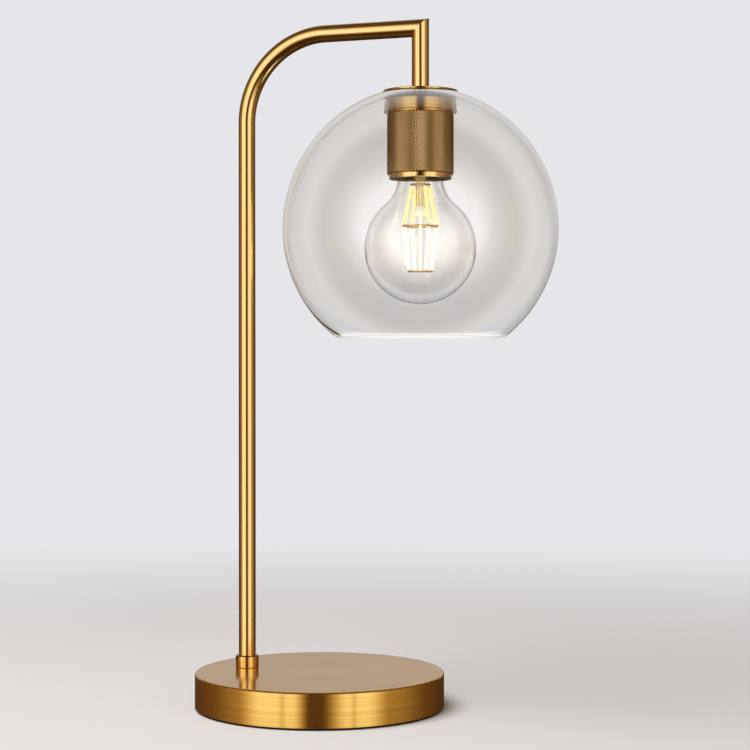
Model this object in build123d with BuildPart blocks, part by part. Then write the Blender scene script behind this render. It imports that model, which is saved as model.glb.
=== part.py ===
"""Table lamp: a clear glass globe hangs from a bent brass arm on a round weighted base.

Millimetres, +Z up. The origin is the centre of the foot pad's underside. The arm reaches
towards +X, so the stem stands at -X and the shade's axis is at +X of the base's centre.
"""

import os
from math import asin, atan2, cos, degrees, pi, radians, sin, sqrt

from build123d import *

os.makedirs("parts", exist_ok=True)

# ---------------------------------------------------------------- driving dimensions
# The lamp as a whole
base_diameter = 160
base_height = 23
stem_offset = 50.8  # stem's axis from the base's centre
reach = 119.1  # stem's axis to the shade's axis
arm_height = 432  # floor to the arm's centre line
bend_radius = 55  # of the arm's centre line
drop_length = 39.6  # arm's centre line down to the shade plate's top
tube_diameter = 11
tube_wall = 1

# Base
shell_wall = 1.2
base_edge_radius = 1.5
pad_thickness = 1.5
pad_inset = 1.5
cover_thickness = 1.6
cover_gap = 0.3
weight_diameter = 148
weight_thickness = 14
weight_web = 5  # iron left above the underside's recess
nut_recess_diameter = 32
cord_groove_width = 12
terminal_recess_length = 56  # from the stem's axis
terminal_recess_width = 26
boss_diameter = 10
boss_circle_diameter = 120
boss_count = 3
cover_screw_diameter = 3
cover_screw_length = 9
cover_screw_recess = 3.6
cover_screw_recess_width = 0.5
cover_screw_recess_depth = 0.9
inlet_height = 10.5
inlet_bore = 6.6
grommet_neck = 9.4
grommet_flange = 13
grommet_lip = 1.5

# Threaded stud, the same at both ends of the tube run: fine 10 mm thread on a hollow stud
stud_diameter = 10
stud_bore = 6
stud_end = 0.8  # stud shown past its nut
nut_across_flats = 14
nut_height = 2.5
washer_diameter = 20
washer_thickness = 0.8
star_washer_diameter = 17
star_washer_thickness = 0.8
star_washer_teeth = 12
star_washer_notch_depth = 1.6
star_washer_notch_width = 1.4
nut_bevel = 0.6

# Stem collar
collar_diameter = 15.2
collar_height = 8.1
collar_bevel = 0.8
collar_seat_depth = 6.6
collar_relief = 0.4

# Shade, its plate and its seat
plate_diameter = 47.6
plate_thickness = 1.2
plate_edge_radius = 0.4
globe_diameter = 173.4
globe_centre_drop = 85.3  # plate's underside down to the globe's widest level
mouth_diameter = 106.5
glass_wall = 2.6
glass_hole = 11.2
seat_top = 2.4
seat_diameter = 46.6
seat_height = 9.6
seat_shoulder = 4
seat_bead = 2.2
seat_bead_proud = 0.35

# Lampholder
holder_cap_diameter = 41.8
holder_cap_wall = 2
holder_cap_band = 7
holder_cap_skirt = 8.8  # threaded spigot below the band
holder_cap_skirt_wall = 1.5
sleeve_diameter = 42.1
sleeve_bore = 39
sleeve_length = 39.4
lip_diameter = 39.6
lip_bore = 36.7
lip_height = 2.8
sleeve_ledge = 2.4  # ledge inside the sleeve, above the lip
insert_neck = 3.8  # height of the insert's narrower top, inside the cap's skirt
insert_roof = 2.2
insert_mouth_depth = 6.6
insert_mouth_diameter = 34.4
mouth_clearance = 0.7  # insert's mouth round the bulb cap's skirt
terminal_reach = 8.5
terminal_length = 6
terminal_width = 7
terminal_height = 4.7
strap_thickness = 0.8
rivet_diameter = 2
rivet_head_diameter = 3
rivet_head_height = 0.6
live_rivet_reach = 5.2
live_rivet_side = 1.9
contact_thickness = 0.4
contact_width = 7
contact_bow = 1.1  # roof's contact leaf bows this far down
contact_flat = 2  # half the leaf's length on the tip
contact_curl = 1.4  # length of its turned-up end
contact_lift = 0.7
clamp_head = 4.2
clamp_head_height = 1.3

# Edison screw, 27 mm
thread_pitch = 25.4 / 7
cap_minor_diameter = 24.1
cap_thread_rise = 1.05
cap_wall = 0.45
cap_threaded_length = 18.6
cap_skirt_length = 3.7
cap_skirt_diameter = 29.8
cap_crown = 1.6
socket_diameter = 26.9
socket_thread_rise = 1
socket_wall = 0.5
socket_flange_bore = 17
socket_set_back = 0.4  # shell's mouth above the insert's shelf
thread_sunk = 0.25  # root of the pressed thread within its wall
thread_turns = 4
thread_run_in = 0.5

# Bulb
bulb_diameter = 70.5
bulb_length = 112
bulb_neck_diameter = 28.6
bulb_shoulder_radius = 22
bulb_wall = 0.9
bulb_tip_diameter = 9.2
bulb_tip_height = 1.3
insulator_height = 2.6
insulator_lap = 0.6  # insulator's edge below the cap's top
insulator_shoulder = 1
stem_tube_diameter = 6
pinch_width = 8.5
pinch_thickness = 3
pinch_height = 5.5
pinch_corner = 1
pinch_rise = 7  # middle ring up to the pinch
stem_rod_diameter = 1.6
flare_rise = 5
flare_lip = 1
flare_knee_diameter = 16.1
support_wire = 0.6
filament_diameter = 1.9
filament_end_gap = 0.5
filament_count = 4  # in each tier
filament_angle = -38
tier_top_diameter = 12.4
tier_middle_diameter = 22.8
tier_bottom_diameter = 15.2
tier_top_height = 75  # above the bulb's lowest point
tier_middle_height = 49
tier_bottom_height = 20.4

# Driver in the bulb's cap
board_rise = 4  # above the thread's lower end
board_thickness = 1.2
capacitor_diameter = 7
capacitor_height = 8
capacitor_offset = 3
rectifier_offset = 5
rectifier_length = 6
rectifier_width = 4
rectifier_height = 2.2
lead_diameter = 0.6
lead_spacing = 2.2

# Wiring
wire_diameter = 2.2
core_diameter = 1.2
wire_spacing = 2.3
mitre_bend = 9
holder_bend = 6
base_bend = 8
wire_set = 5  # radius of the small sets in the wires beside the terminal block
wire_clearance = 0.4
wire_straight = 11  # along the base from the stem's axis to the first set
wire_rise_run = 7
wire_level_run = 3
wire_spread_run = 7
block_end_gap = 4  # terminal block to the end of its recess
block_length = 20
block_width = 18
block_height = 11
block_corner = 1
block_pole_spacing = 10
block_screw_diameter = 3
block_screw_head = 4.6
block_screw_head_height = 1.6
block_screw_end_gap = 1
pole_diameter = 4
pole_bore = 2.6
pole_rise = 3.2  # poles' axes above the block's lower face
pole_inset = 2
terminal_screw_diameter = 2.4
terminal_screw_sunk = 0.4
screw_slot_width = 0.6
screw_slot_depth = 0.7

# Fits
braze_gap = 0.05
thread_gap = 0.05
sleeve_gap = 0.2
hole_gap = 0.2
seat_gap = 0.3
insert_gap = 0.5
mating_gap = 0.05
pilot_gap = 1  # hole past a screw's end
edge_break = 0.4

# ---------------------------------------------------------------- levels and radii
base_radius = base_diameter / 2
stem_x = -stem_offset
head_x = reach - stem_offset
tube_radius = tube_diameter / 2
bore_radius = tube_radius - tube_wall
stud_radius = stud_diameter / 2

cover_top = pad_thickness + cover_thickness
shell_ceiling = base_height - shell_wall
weight_bottom = shell_ceiling - weight_thickness
recess_top = shell_ceiling - weight_web
base_washer_bottom = recess_top - washer_thickness
base_nut_top = base_washer_bottom - star_washer_thickness
base_stud_bottom = base_nut_top - nut_height - stud_end
tube_foot = base_height + collar_height - collar_seat_depth

plate_top = arm_height - drop_length
plate_bottom = plate_top - plate_thickness
glass_ceiling = plate_bottom - glass_wall
holder_top = glass_ceiling - seat_top
holder_ceiling = holder_top - holder_cap_wall
head_nut_top = holder_ceiling - washer_thickness
head_stud_bottom = head_nut_top - nut_height - stud_end
band_bottom = holder_top - holder_cap_band
skirt_bottom = band_bottom - holder_cap_skirt
sleeve_top = band_bottom - mating_gap
sleeve_bottom = sleeve_top - sleeve_length
lip_bottom = sleeve_bottom - lip_height
insert_bottom = sleeve_bottom + sleeve_ledge
insert_top = skirt_bottom + insert_neck
insert_ceiling = insert_top - insert_roof
insert_radius = sleeve_bore / 2 - sleeve_gap

tip_top = insert_ceiling - contact_thickness - contact_bow
tip_bottom = tip_top - bulb_tip_height
bulb_bottom = tip_top - bulb_length
bulb_radius = bulb_diameter / 2
bulb_centre = bulb_bottom + bulb_radius
cap_top = tip_bottom - insulator_height + insulator_lap
cap_thread_bottom = cap_top - cap_threaded_length
cap_bottom = cap_thread_bottom - cap_skirt_length
socket_radius = socket_diameter / 2
socket_bottom = insert_bottom + insert_mouth_depth + socket_set_back

globe_radius = globe_diameter / 2
globe_centre = plate_bottom - globe_centre_drop
mouth_level = globe_centre - sqrt(globe_radius**2 - (mouth_diameter / 2) ** 2)

head_plane = Plane((head_x, 0, 0), x_dir=(1, 0, 0), z_dir=(0, -1, 0))
head_axis = Axis((head_x, 0, 0), (0, 0, 1))
stem_plane = Plane((stem_x, 0, 0), x_dir=(1, 0, 0), z_dir=(0, -1, 0))
stem_axis = Axis((stem_x, 0, 0), (0, 0, 1))


def at_level(z, x=0):
    """A level plane at height z, centred on x."""
    return Plane((x, 0, z))


def turn(outline, plane, axis, mode=Mode.ADD):
    """Turn a closed outline of (radius, height) points about an axis, in the open part."""
    with BuildSketch(plane) as profile:
        with BuildLine():
            Polyline(*outline, close=True)
        make_face()
    revolve(profile.sketch, axis=axis, mode=mode)


def disc(x, bottom, top, radius, bore=0.0, mode=Mode.ADD):
    """A plain disc or ring about the upright line at x, between two levels, in the open part."""
    with BuildSketch(at_level(bottom, x)) as profile:
        Circle(radius)
        if bore:
            Circle(bore, mode=Mode.SUBTRACT)
    extrude(profile.sketch, amount=top - bottom, mode=mode)


def save(part, name):
    """Label a finished piece and write it under its own name."""
    part.part.label = name
    export_step(part.part, f"parts/{name}.step")


# ---------------------------------------------------------------- base
# Spun steel shell with a hole for the stem's stud and one at the back for the cord.
with BuildPart() as base_shell:
    disc(0, pad_thickness, base_height, base_radius)
    fillet(base_shell.edges().group_by(Axis.Z)[-1], base_edge_radius)
    disc(0, pad_thickness, shell_ceiling, base_radius - shell_wall, mode=Mode.SUBTRACT)
    disc(stem_x, shell_ceiling, base_height, stud_radius + hole_gap, mode=Mode.SUBTRACT)
    with BuildSketch(Plane.YZ.offset(-base_radius - grommet_lip)):
        with Locations((0, inlet_height)):
            Circle(grommet_neck / 2)
    extrude(amount=2 * grommet_lip + shell_wall, mode=Mode.SUBTRACT)
save(base_shell, "base_shell")

# Cast iron weight: one recess below holds the nut, the cord and the terminal block.
block_x = stem_x + terminal_recess_length - block_end_gap - block_length / 2
boss_level = at_level(weight_bottom)
with BuildPart() as base_weight:
    disc(0, weight_bottom, shell_ceiling, weight_diameter / 2)
    with BuildSketch(boss_level):
        with Locations((stem_x, 0)):
            Circle(nut_recess_diameter / 2)
            Rectangle(base_radius - stem_offset, cord_groove_width, align=(Align.MAX, Align.CENTER))
            Rectangle(terminal_recess_length, terminal_recess_width, align=(Align.MIN, Align.CENTER))
    extrude(amount=recess_top - weight_bottom, mode=Mode.SUBTRACT)
    with BuildSketch(boss_level):
        with PolarLocations(boss_circle_diameter / 2, boss_count):
            Circle(boss_diameter / 2)
    extrude(amount=cover_top - weight_bottom)
    with BuildSketch(at_level(cover_top)):
        with PolarLocations(boss_circle_diameter / 2, boss_count):
            Circle(cover_screw_diameter / 2 + thread_gap)
    extrude(amount=cover_screw_length + pilot_gap - cover_thickness, mode=Mode.SUBTRACT)
    disc(stem_x, recess_top, shell_ceiling, stud_radius + hole_gap, mode=Mode.SUBTRACT)
    disc(
        block_x,
        recess_top,
        shell_ceiling,
        block_screw_diameter / 2 + thread_gap,
        mode=Mode.SUBTRACT,
    )
save(base_weight, "base_weight")

# Sheet steel bottom cover, and the three countersunk screws that hold it to the weight.
screw_head_radius = cover_screw_diameter
with BuildPart() as base_cover:
    disc(0, pad_thickness, cover_top, base_radius - shell_wall - cover_gap)
    with PolarLocations(boss_circle_diameter / 2, boss_count):
        with Locations(Location((0, 0, pad_thickness), (180, 0, 0))):
            CounterSinkHole(
                cover_screw_diameter / 2 + hole_gap,
                screw_head_radius + hole_gap,
                cover_thickness,
            )
save(base_cover, "base_cover")

with BuildPart() as cover_screws:
    for place in PolarLocations(boss_circle_diameter / 2, boss_count):
        screw_x, screw_y = place.position.X, place.position.Y
        with BuildSketch(Plane((screw_x, screw_y, pad_thickness))):
            Circle(cover_screw_diameter / 2)
        extrude(amount=cover_screw_length)
        with BuildSketch(Plane((screw_x, screw_y, pad_thickness))):
            Circle(screw_head_radius)
        extrude(amount=screw_head_radius - cover_screw_diameter / 2, taper=45)
        with BuildSketch(Plane((screw_x, screw_y, pad_thickness))):
            Rectangle(cover_screw_recess, cover_screw_recess_width)
            Rectangle(cover_screw_recess_width, cover_screw_recess)
        extrude(amount=cover_screw_recess_depth, mode=Mode.SUBTRACT)
save(cover_screws, "cover_screws")

# Soft foot pad glued under the cover.
with BuildPart() as foot_pad:
    disc(0, 0, pad_thickness, base_radius - pad_inset)
save(foot_pad, "foot_pad")

# Rubber grommet in the cord's hole. Its inner lip clears the shell's curved wall.
grommet_outer_face = -base_radius
grommet_inner_face = -sqrt((base_radius - shell_wall) ** 2 - (grommet_flange / 2) ** 2) + mating_gap
with BuildPart() as cord_grommet:
    with BuildSketch(Plane.YZ.offset(grommet_outer_face - grommet_lip)):
        with Locations((0, inlet_height)):
            Circle(grommet_flange / 2)
    extrude(amount=grommet_lip)
    fillet(cord_grommet.edges().group_by(Axis.X)[0], grommet_lip / 2)
    with BuildSketch(Plane.YZ.offset(grommet_outer_face)):
        with Locations((0, inlet_height)):
            Circle(grommet_neck / 2 - mating_gap)
    extrude(amount=grommet_inner_face - grommet_outer_face)
    with BuildSketch(Plane.YZ.offset(grommet_inner_face)):
        with Locations((0, inlet_height)):
            Circle(grommet_flange / 2)
    extrude(amount=grommet_lip)
    with BuildSketch(Plane.YZ.offset(grommet_outer_face - grommet_lip)):
        with Locations((0, inlet_height)):
            Circle(inlet_bore / 2)
    extrude(amount=grommet_inner_face - grommet_outer_face + 2 * grommet_lip, mode=Mode.SUBTRACT)
save(cord_grommet, "cord_grommet")

# ---------------------------------------------------------------- terminal block in the base
block_bottom = recess_top - block_height
pole_level = block_bottom + pole_rise
block_left = block_x - block_length / 2
pole_ys = (-block_pole_spacing / 2, block_pole_spacing / 2)
screw_xs = (block_x - block_length / 4, block_x + block_length / 4)

with BuildPart() as terminal_block:
    with BuildSketch(at_level(block_bottom, block_x)):
        RectangleRounded(block_length, block_width, block_corner)
    extrude(amount=block_height)
    with BuildSketch(Plane.YZ.offset(block_left)):
        with Locations(*[(y, pole_level) for y in pole_ys]):
            Circle(pole_diameter / 2 + mating_gap)
    extrude(amount=block_length, mode=Mode.SUBTRACT)
    with BuildSketch(at_level(block_bottom)):
        with Locations(*[(x, y) for x in screw_xs for y in pole_ys]):
            Circle(terminal_screw_diameter / 2 + hole_gap)
    extrude(amount=pole_rise, mode=Mode.SUBTRACT)
    block_screw_radius = block_screw_diameter / 2
    block_head_radius = block_screw_head / 2
    head_top = recess_top - block_height / 2
    disc(block_x, block_bottom, recess_top, block_screw_radius + hole_gap, mode=Mode.SUBTRACT)
    disc(block_x, block_bottom, head_top, block_head_radius + hole_gap, mode=Mode.SUBTRACT)
save(terminal_block, "terminal_block")

# Two brass tubes in the block, each with a clamp screw at either end.
with BuildPart() as terminal_tubes:
    with BuildSketch(Plane.YZ.offset(block_left + pole_inset)):
        with Locations(*[(y, pole_level) for y in pole_ys]):
            Circle(pole_diameter / 2)
            Circle(pole_bore / 2, mode=Mode.SUBTRACT)
    extrude(amount=block_length - 2 * pole_inset)
    with BuildSketch(at_level(pole_level - pole_diameter / 2)):
        with Locations(*[(x, y) for x in screw_xs for y in pole_ys]):
            Circle(terminal_screw_diameter / 2 + thread_gap)
    extrude(amount=pole_diameter / 2, mode=Mode.SUBTRACT)
save(terminal_tubes, "terminal_tubes")

clamp_level = pole_level - core_diameter / 2
with BuildPart() as terminal_screws:
    screw_bottom = block_bottom + terminal_screw_sunk
    for screw_x in screw_xs:
        for screw_y in pole_ys:
            with BuildSketch(Plane((screw_x, screw_y, screw_bottom))):
                Circle(terminal_screw_diameter / 2)
            extrude(amount=clamp_level - screw_bottom)
            with BuildSketch(Plane((screw_x, screw_y, screw_bottom))):
                Rectangle(terminal_screw_diameter, screw_slot_width)
            extrude(amount=screw_slot_depth, mode=Mode.SUBTRACT)
save(terminal_screws, "terminal_screws")

with BuildPart() as block_screw:
    head_bottom = head_top - block_screw_head_height
    disc(block_x, head_top, shell_ceiling - block_screw_end_gap, block_screw_radius)
    disc(block_x, head_bottom, head_top, block_head_radius)
    with BuildSketch(at_level(head_bottom, block_x)):
        Rectangle(block_screw_head, screw_slot_width)
    extrude(amount=screw_slot_depth, mode=Mode.SUBTRACT)
save(block_screw, "block_screw")

# ---------------------------------------------------------------- stem
# Turned collar: a socket for the tube above, a hollow threaded stud through the base below.
collar_radius = collar_diameter / 2
collar_top = base_height + collar_height
with BuildPart() as stem_collar:
    turn(
        [
            (stud_bore / 2, base_stud_bottom),
            (stud_radius, base_stud_bottom),
            (stud_radius, base_height),
            (collar_radius - collar_relief, base_height),
            (collar_radius, base_height + collar_relief),
            (collar_radius, collar_top - collar_bevel),
            (collar_radius - collar_bevel, collar_top),
            (tube_radius + braze_gap, collar_top),
            (tube_radius + braze_gap, tube_foot),
            (stud_bore / 2, tube_foot),
        ],
        stem_plane,
        stem_axis,
    )
save(stem_collar, "stem_collar")


def hex_nut(x, top):
    """A thin hexagon nut, its outer corners bevelled, in the open part."""
    with BuildSketch(at_level(top - nut_height, x)) as profile:
        RegularPolygon(nut_across_flats / 2, 6, major_radius=False)
    extrude(profile.sketch, amount=nut_height)
    corner = nut_across_flats / sqrt(3)
    turn(
        [
            (0, top - nut_height),
            (corner - 2 * nut_bevel, top - nut_height),
            (corner, top - nut_height + nut_bevel),
            (corner, top - nut_bevel),
            (corner - 2 * nut_bevel, top),
            (0, top),
        ],
        Plane((x, 0, 0), x_dir=(1, 0, 0), z_dir=(0, -1, 0)),
        Axis((x, 0, 0), (0, 0, 1)),
        mode=Mode.INTERSECT,
    )
    disc(x, top - nut_height, top, stud_radius + thread_gap, mode=Mode.SUBTRACT)


with BuildPart() as stem_washer:
    disc(stem_x, base_washer_bottom, recess_top, washer_diameter / 2, stud_radius + hole_gap)
save(stem_washer, "stem_washer")

with BuildPart() as star_washer:
    disc(
        stem_x,
        base_nut_top,
        base_washer_bottom,
        star_washer_diameter / 2,
        stud_radius + hole_gap,
    )
    with BuildSketch(at_level(base_nut_top, stem_x)):
        with PolarLocations(star_washer_diameter / 2, star_washer_teeth):
            Rectangle(2 * star_washer_notch_depth, star_washer_notch_width)
    extrude(amount=star_washer_thickness, mode=Mode.SUBTRACT)
save(star_washer, "star_washer")

with BuildPart() as stem_nut:
    hex_nut(stem_x, base_nut_top)
save(stem_nut, "stem_nut")


def cut_mitre(side):
    """Cut the open part's tube end at 45 degrees: side 1 takes what is below, -1 what is above."""
    far = 2 * tube_diameter
    with BuildSketch(Plane((head_x, 0, arm_height), x_dir=(1, 0, 0), z_dir=(0, -1, 0))) as corner:
        with BuildLine():
            Polyline((-far, -far), (far, far), (side * far, -side * far), close=True)
        make_face()
    extrude(corner.sketch, amount=far, both=True, mode=Mode.SUBTRACT)


# Bent arm tube: stem, bend and arm in one, mitred where the drop tube joins it.
with BuildPart() as arm_tube:
    with BuildLine():
        FilletPolyline(
            (stem_x, 0, tube_foot),
            (stem_x, 0, arm_height),
            (head_x + tube_diameter, 0, arm_height),
            radius=bend_radius,
        )
    with BuildSketch(at_level(tube_foot, stem_x)):
        Circle(tube_radius)
        Circle(bore_radius, mode=Mode.SUBTRACT)
    sweep()
    cut_mitre(1)
save(arm_tube, "arm_tube")

with BuildPart() as drop_tube:
    disc(head_x, plate_top, arm_height + tube_diameter, tube_radius, bore_radius)
    cut_mitre(-1)
save(drop_tube, "drop_tube")

# Hollow threaded stud brazed into the drop tube's end.
stud_spigot = 14
stud_chamfer = 0.5
with BuildPart() as drop_stud:
    turn(
        [
            (stud_bore / 2, head_stud_bottom),
            (stud_radius - stud_chamfer, head_stud_bottom),
            (stud_radius, head_stud_bottom + stud_chamfer),
            (stud_radius, plate_top),
            (bore_radius - braze_gap, plate_top),
            (bore_radius - braze_gap, plate_top + stud_spigot),
            (stud_bore / 2, plate_top + stud_spigot),
        ],
        head_plane,
        head_axis,
    )
save(drop_stud, "drop_stud")

# ---------------------------------------------------------------- shade
with BuildPart() as shade_plate:
    disc(head_x, plate_bottom, plate_top, plate_diameter / 2, stud_radius + hole_gap / 2)
    rims = shade_plate.edges().filter_by(GeomType.CIRCLE).sort_by(SortBy.RADIUS)[-2:]
    fillet(rims, plate_edge_radius)
save(shade_plate, "shade_plate")

# Blown globe: flat where the plate clamps it, open below, with a melted rim.
flat_radius = plate_diameter / 2
crown_height = plate_bottom - globe_centre
crown_radius = (
    (globe_radius - flat_radius) ** 2 + crown_height**2
) / (2 * (globe_radius - flat_radius))
crown_centre = (globe_radius - crown_radius, globe_centre)
inner_radius = globe_radius - glass_wall
crown_angle = degrees(atan2(crown_height, flat_radius - crown_centre[0]))
inner_crown_angle = degrees(asin((glass_ceiling - globe_centre) / (crown_radius - glass_wall)))
mouth_depth = globe_centre - mouth_level
melted_rim = 0.42 * glass_wall
mouth_angle = degrees(asin(mouth_depth / globe_radius))
inner_mouth_angle = degrees(asin(mouth_depth / inner_radius))
with BuildPart() as glass_globe:
    with BuildSketch(head_plane):
        with BuildLine():
            top = Line((glass_hole / 2, plate_bottom), (flat_radius, plate_bottom))
            CenterArc(crown_centre, crown_radius, 0, crown_angle)
            belly = CenterArc((0, globe_centre), globe_radius, -mouth_angle, mouth_angle)
            lining = CenterArc((0, globe_centre), inner_radius, -inner_mouth_angle, inner_mouth_angle)
            inner_crown = CenterArc(crown_centre, crown_radius - glass_wall, 0, inner_crown_angle)
            Line(belly @ 0, lining @ 0)
            ceiling = Line(inner_crown @ 1, (glass_hole / 2, glass_ceiling))
            Line(ceiling @ 1, top @ 0)
        make_face()
    revolve(axis=head_axis)
    fillet(glass_globe.edges().group_by(Axis.Z)[0], melted_rim)
save(glass_globe, "glass_globe")

# Clear silicone cap between the glass and the lampholder, with a bead round its skirt.
seat_radius = seat_diameter / 2
seat_bottom = glass_ceiling - seat_height
seat_inner = holder_cap_diameter / 2 + seat_gap
seat_bore = stud_radius + hole_gap
seat_side = seat_radius - seat_bead_proud
bead_top = seat_bottom + seat_bead
with BuildPart() as shade_seat:
    with BuildSketch(head_plane):
        with BuildLine():
            crown = Line((seat_bore, glass_ceiling), (seat_side - seat_shoulder, glass_ceiling))
            shoulder = RadiusArc(crown @ 1, (seat_side, glass_ceiling - seat_shoulder), seat_shoulder)
            side = Line(shoulder @ 1, (seat_side, bead_top))
            bead = ThreePointArc(
                side @ 1, (seat_radius, seat_bottom + seat_bead / 2), (seat_side, seat_bottom)
            )
            Polyline(
                bead @ 1,
                (seat_inner, seat_bottom),
                (seat_inner, holder_top),
                (seat_bore, holder_top),
                crown @ 0,
            )
        make_face()
    revolve(axis=head_axis)
save(shade_seat, "shade_seat")

# ---------------------------------------------------------------- lampholder
# Turned brass cap: a plain band, and below it a thread for the knurled sleeve.
holder_skirt_radius = sleeve_bore / 2 - thread_gap
cap_bore = holder_skirt_radius - holder_cap_skirt_wall
holder_cap_radius = holder_cap_diameter / 2
with BuildPart() as holder_cap:
    turn(
        [
            (stud_radius + hole_gap / 2, holder_top),
            (holder_cap_radius - edge_break, holder_top),
            (holder_cap_radius, holder_top - edge_break),
            (holder_cap_radius, band_bottom),
            (holder_skirt_radius, band_bottom),
            (holder_skirt_radius, skirt_bottom),
            (cap_bore, skirt_bottom),
            (cap_bore, holder_ceiling),
            (stud_radius + hole_gap / 2, holder_ceiling),
        ],
        head_plane,
        head_axis,
    )
save(holder_cap, "holder_cap")

with BuildPart() as holder_washer:
    disc(head_x, head_nut_top, holder_ceiling, washer_diameter / 2, stud_radius + hole_gap)
save(holder_washer, "holder_washer")

with BuildPart() as holder_nut:
    hex_nut(head_x, head_nut_top)
save(holder_nut, "holder_nut")

# Knurled sleeve: its ledge carries the insert, and a polished lip shows below the knurl.
sleeve_radius = sleeve_diameter / 2
lip_radius = lip_diameter / 2
with BuildPart() as knurled_sleeve:
    turn(
        [
            (sleeve_bore / 2, sleeve_top),
            (sleeve_radius - edge_break, sleeve_top),
            (sleeve_radius, sleeve_top - edge_break),
            (sleeve_radius, sleeve_bottom + edge_break),
            (sleeve_radius - edge_break, sleeve_bottom),
            (lip_radius, sleeve_bottom),
            (lip_radius, lip_bottom + edge_break),
            (lip_radius - edge_break, lip_bottom),
            (lip_bore / 2, lip_bottom),
            (lip_bore / 2, insert_bottom),
            (sleeve_bore / 2, insert_bottom),
        ],
        head_plane,
        head_axis,
    )
save(knurled_sleeve, "knurled_sleeve")

# Ceramic insert, clamped between the sleeve's ledge and the cap's skirt.
insert_bore = socket_radius + socket_wall + mating_gap
insert_neck_radius = cap_bore - insert_gap
insert_shelf = insert_bottom + insert_mouth_depth
mouth_inner = cap_skirt_diameter / 2 + mouth_clearance
live_rivet = (live_rivet_reach, live_rivet_side)
neutral_rivet = (-(terminal_reach + terminal_length / 2), 0)
with BuildPart() as holder_insert:
    turn(
        [
            (0, insert_ceiling),
            (insert_bore, insert_ceiling),
            (insert_bore, insert_shelf),
            (mouth_inner, insert_shelf),
            (insert_mouth_diameter / 2, insert_bottom),
            (insert_radius, insert_bottom),
            (insert_radius, skirt_bottom),
            (insert_neck_radius, skirt_bottom),
            (insert_neck_radius, insert_top),
            (0, insert_top),
        ],
        head_plane,
        head_axis,
    )
    with BuildSketch(at_level(insert_ceiling, head_x)):
        with Locations(live_rivet, neutral_rivet):
            Circle(rivet_diameter / 2 + mating_gap)
    extrude(amount=insert_roof, mode=Mode.SUBTRACT)
save(holder_insert, "holder_insert")


def screw_thread(radius, bottom, rise, outward):
    """A round-crested helical thread on a cylinder of this radius, in the open part."""
    with BuildLine() as helix:
        Helix(thread_pitch, thread_pitch * thread_turns, radius, center=(head_x, 0, bottom))
    start = Plane(helix.line @ 0, x_dir=(1, 0, 0), z_dir=helix.line % 0)
    with BuildSketch(start) as section:
        Circle(rise)
        keep_width = 4 * rise
        root, kept_side = (-thread_sunk, Align.MIN) if outward else (thread_sunk, Align.MAX)
        with Locations((root, 0)):
            Rectangle(
                keep_width, keep_width, align=(kept_side, Align.CENTER), mode=Mode.INTERSECT
            )
    sweep(section.sketch, path=helix.line, is_frenet=True)


# Screw shell of the socket, pressed brass. Its thread lies half a pitch off the bulb's.
cap_thread_start = cap_thread_bottom + cap_thread_rise + thread_run_in
socket_thread_start = cap_thread_start + thread_pitch / 2
with BuildPart() as socket_shell:
    turn(
        [
            (socket_radius, socket_bottom),
            (socket_radius + socket_wall, socket_bottom),
            (socket_radius + socket_wall, insert_ceiling),
            (socket_flange_bore / 2, insert_ceiling),
            (socket_flange_bore / 2, insert_ceiling - socket_wall),
            (socket_radius, insert_ceiling - socket_wall),
        ],
        head_plane,
        head_axis,
    )
    with BuildSketch(at_level(insert_ceiling - socket_wall, head_x)):
        with Locations(neutral_rivet):
            Circle(rivet_diameter / 2 + mating_gap)
    extrude(amount=socket_wall, mode=Mode.SUBTRACT)
    screw_thread(socket_radius, socket_thread_start, socket_thread_rise, outward=False)
save(socket_shell, "socket_shell")

# Terminals on the insert: a clamp block each, the live one on a strap from the centre contact.
wire_level = insert_top + strap_thickness + wire_clearance + wire_diameter / 2
wire_y = wire_spacing / 2


def clamp_block(side, strap_end):
    """A brass clamp block on its strap, reaching out along side times X, in the open part."""
    block_middle = head_x + side * (terminal_reach + terminal_length / 2)
    strap_middle = head_x + side * (strap_end + terminal_reach + terminal_length) / 2
    strap_length = terminal_reach + terminal_length - strap_end
    with BuildSketch(at_level(insert_top, strap_middle)) as strap:
        Rectangle(strap_length, terminal_width)
    extrude(strap.sketch, amount=strap_thickness)
    with BuildSketch(at_level(insert_top + strap_thickness, block_middle)) as block:
        Rectangle(terminal_length, terminal_width)
    extrude(block.sketch, amount=terminal_height)
    with BuildSketch(Plane.YZ.offset(block_middle - terminal_length / 2)) as hole:
        with Locations((-side * wire_y, wire_level)):
            Circle(core_diameter / 2 + hole_gap)
    extrude(hole.sketch, amount=terminal_length, mode=Mode.SUBTRACT)
    with BuildSketch(Plane((block_middle, -side * wire_y, wire_level))) as tapped:
        Circle(terminal_screw_diameter / 2 + thread_gap)
    extrude(tapped.sketch, amount=terminal_height, mode=Mode.SUBTRACT)


with BuildPart() as live_terminal:
    clamp_block(1, live_rivet_reach - rivet_diameter)
    with BuildSketch(at_level(insert_top, head_x)):
        with Locations(live_rivet):
            Circle(rivet_diameter / 2 + mating_gap)
    extrude(amount=strap_thickness, mode=Mode.SUBTRACT)
save(live_terminal, "live_terminal")

with BuildPart() as neutral_terminal:
    clamp_block(-1, terminal_reach)
    with BuildSketch(at_level(insert_top, head_x)):
        with Locations(neutral_rivet):
            Circle(rivet_diameter / 2 + mating_gap)
    extrude(amount=strap_thickness, mode=Mode.SUBTRACT)
save(neutral_terminal, "neutral_terminal")

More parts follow.
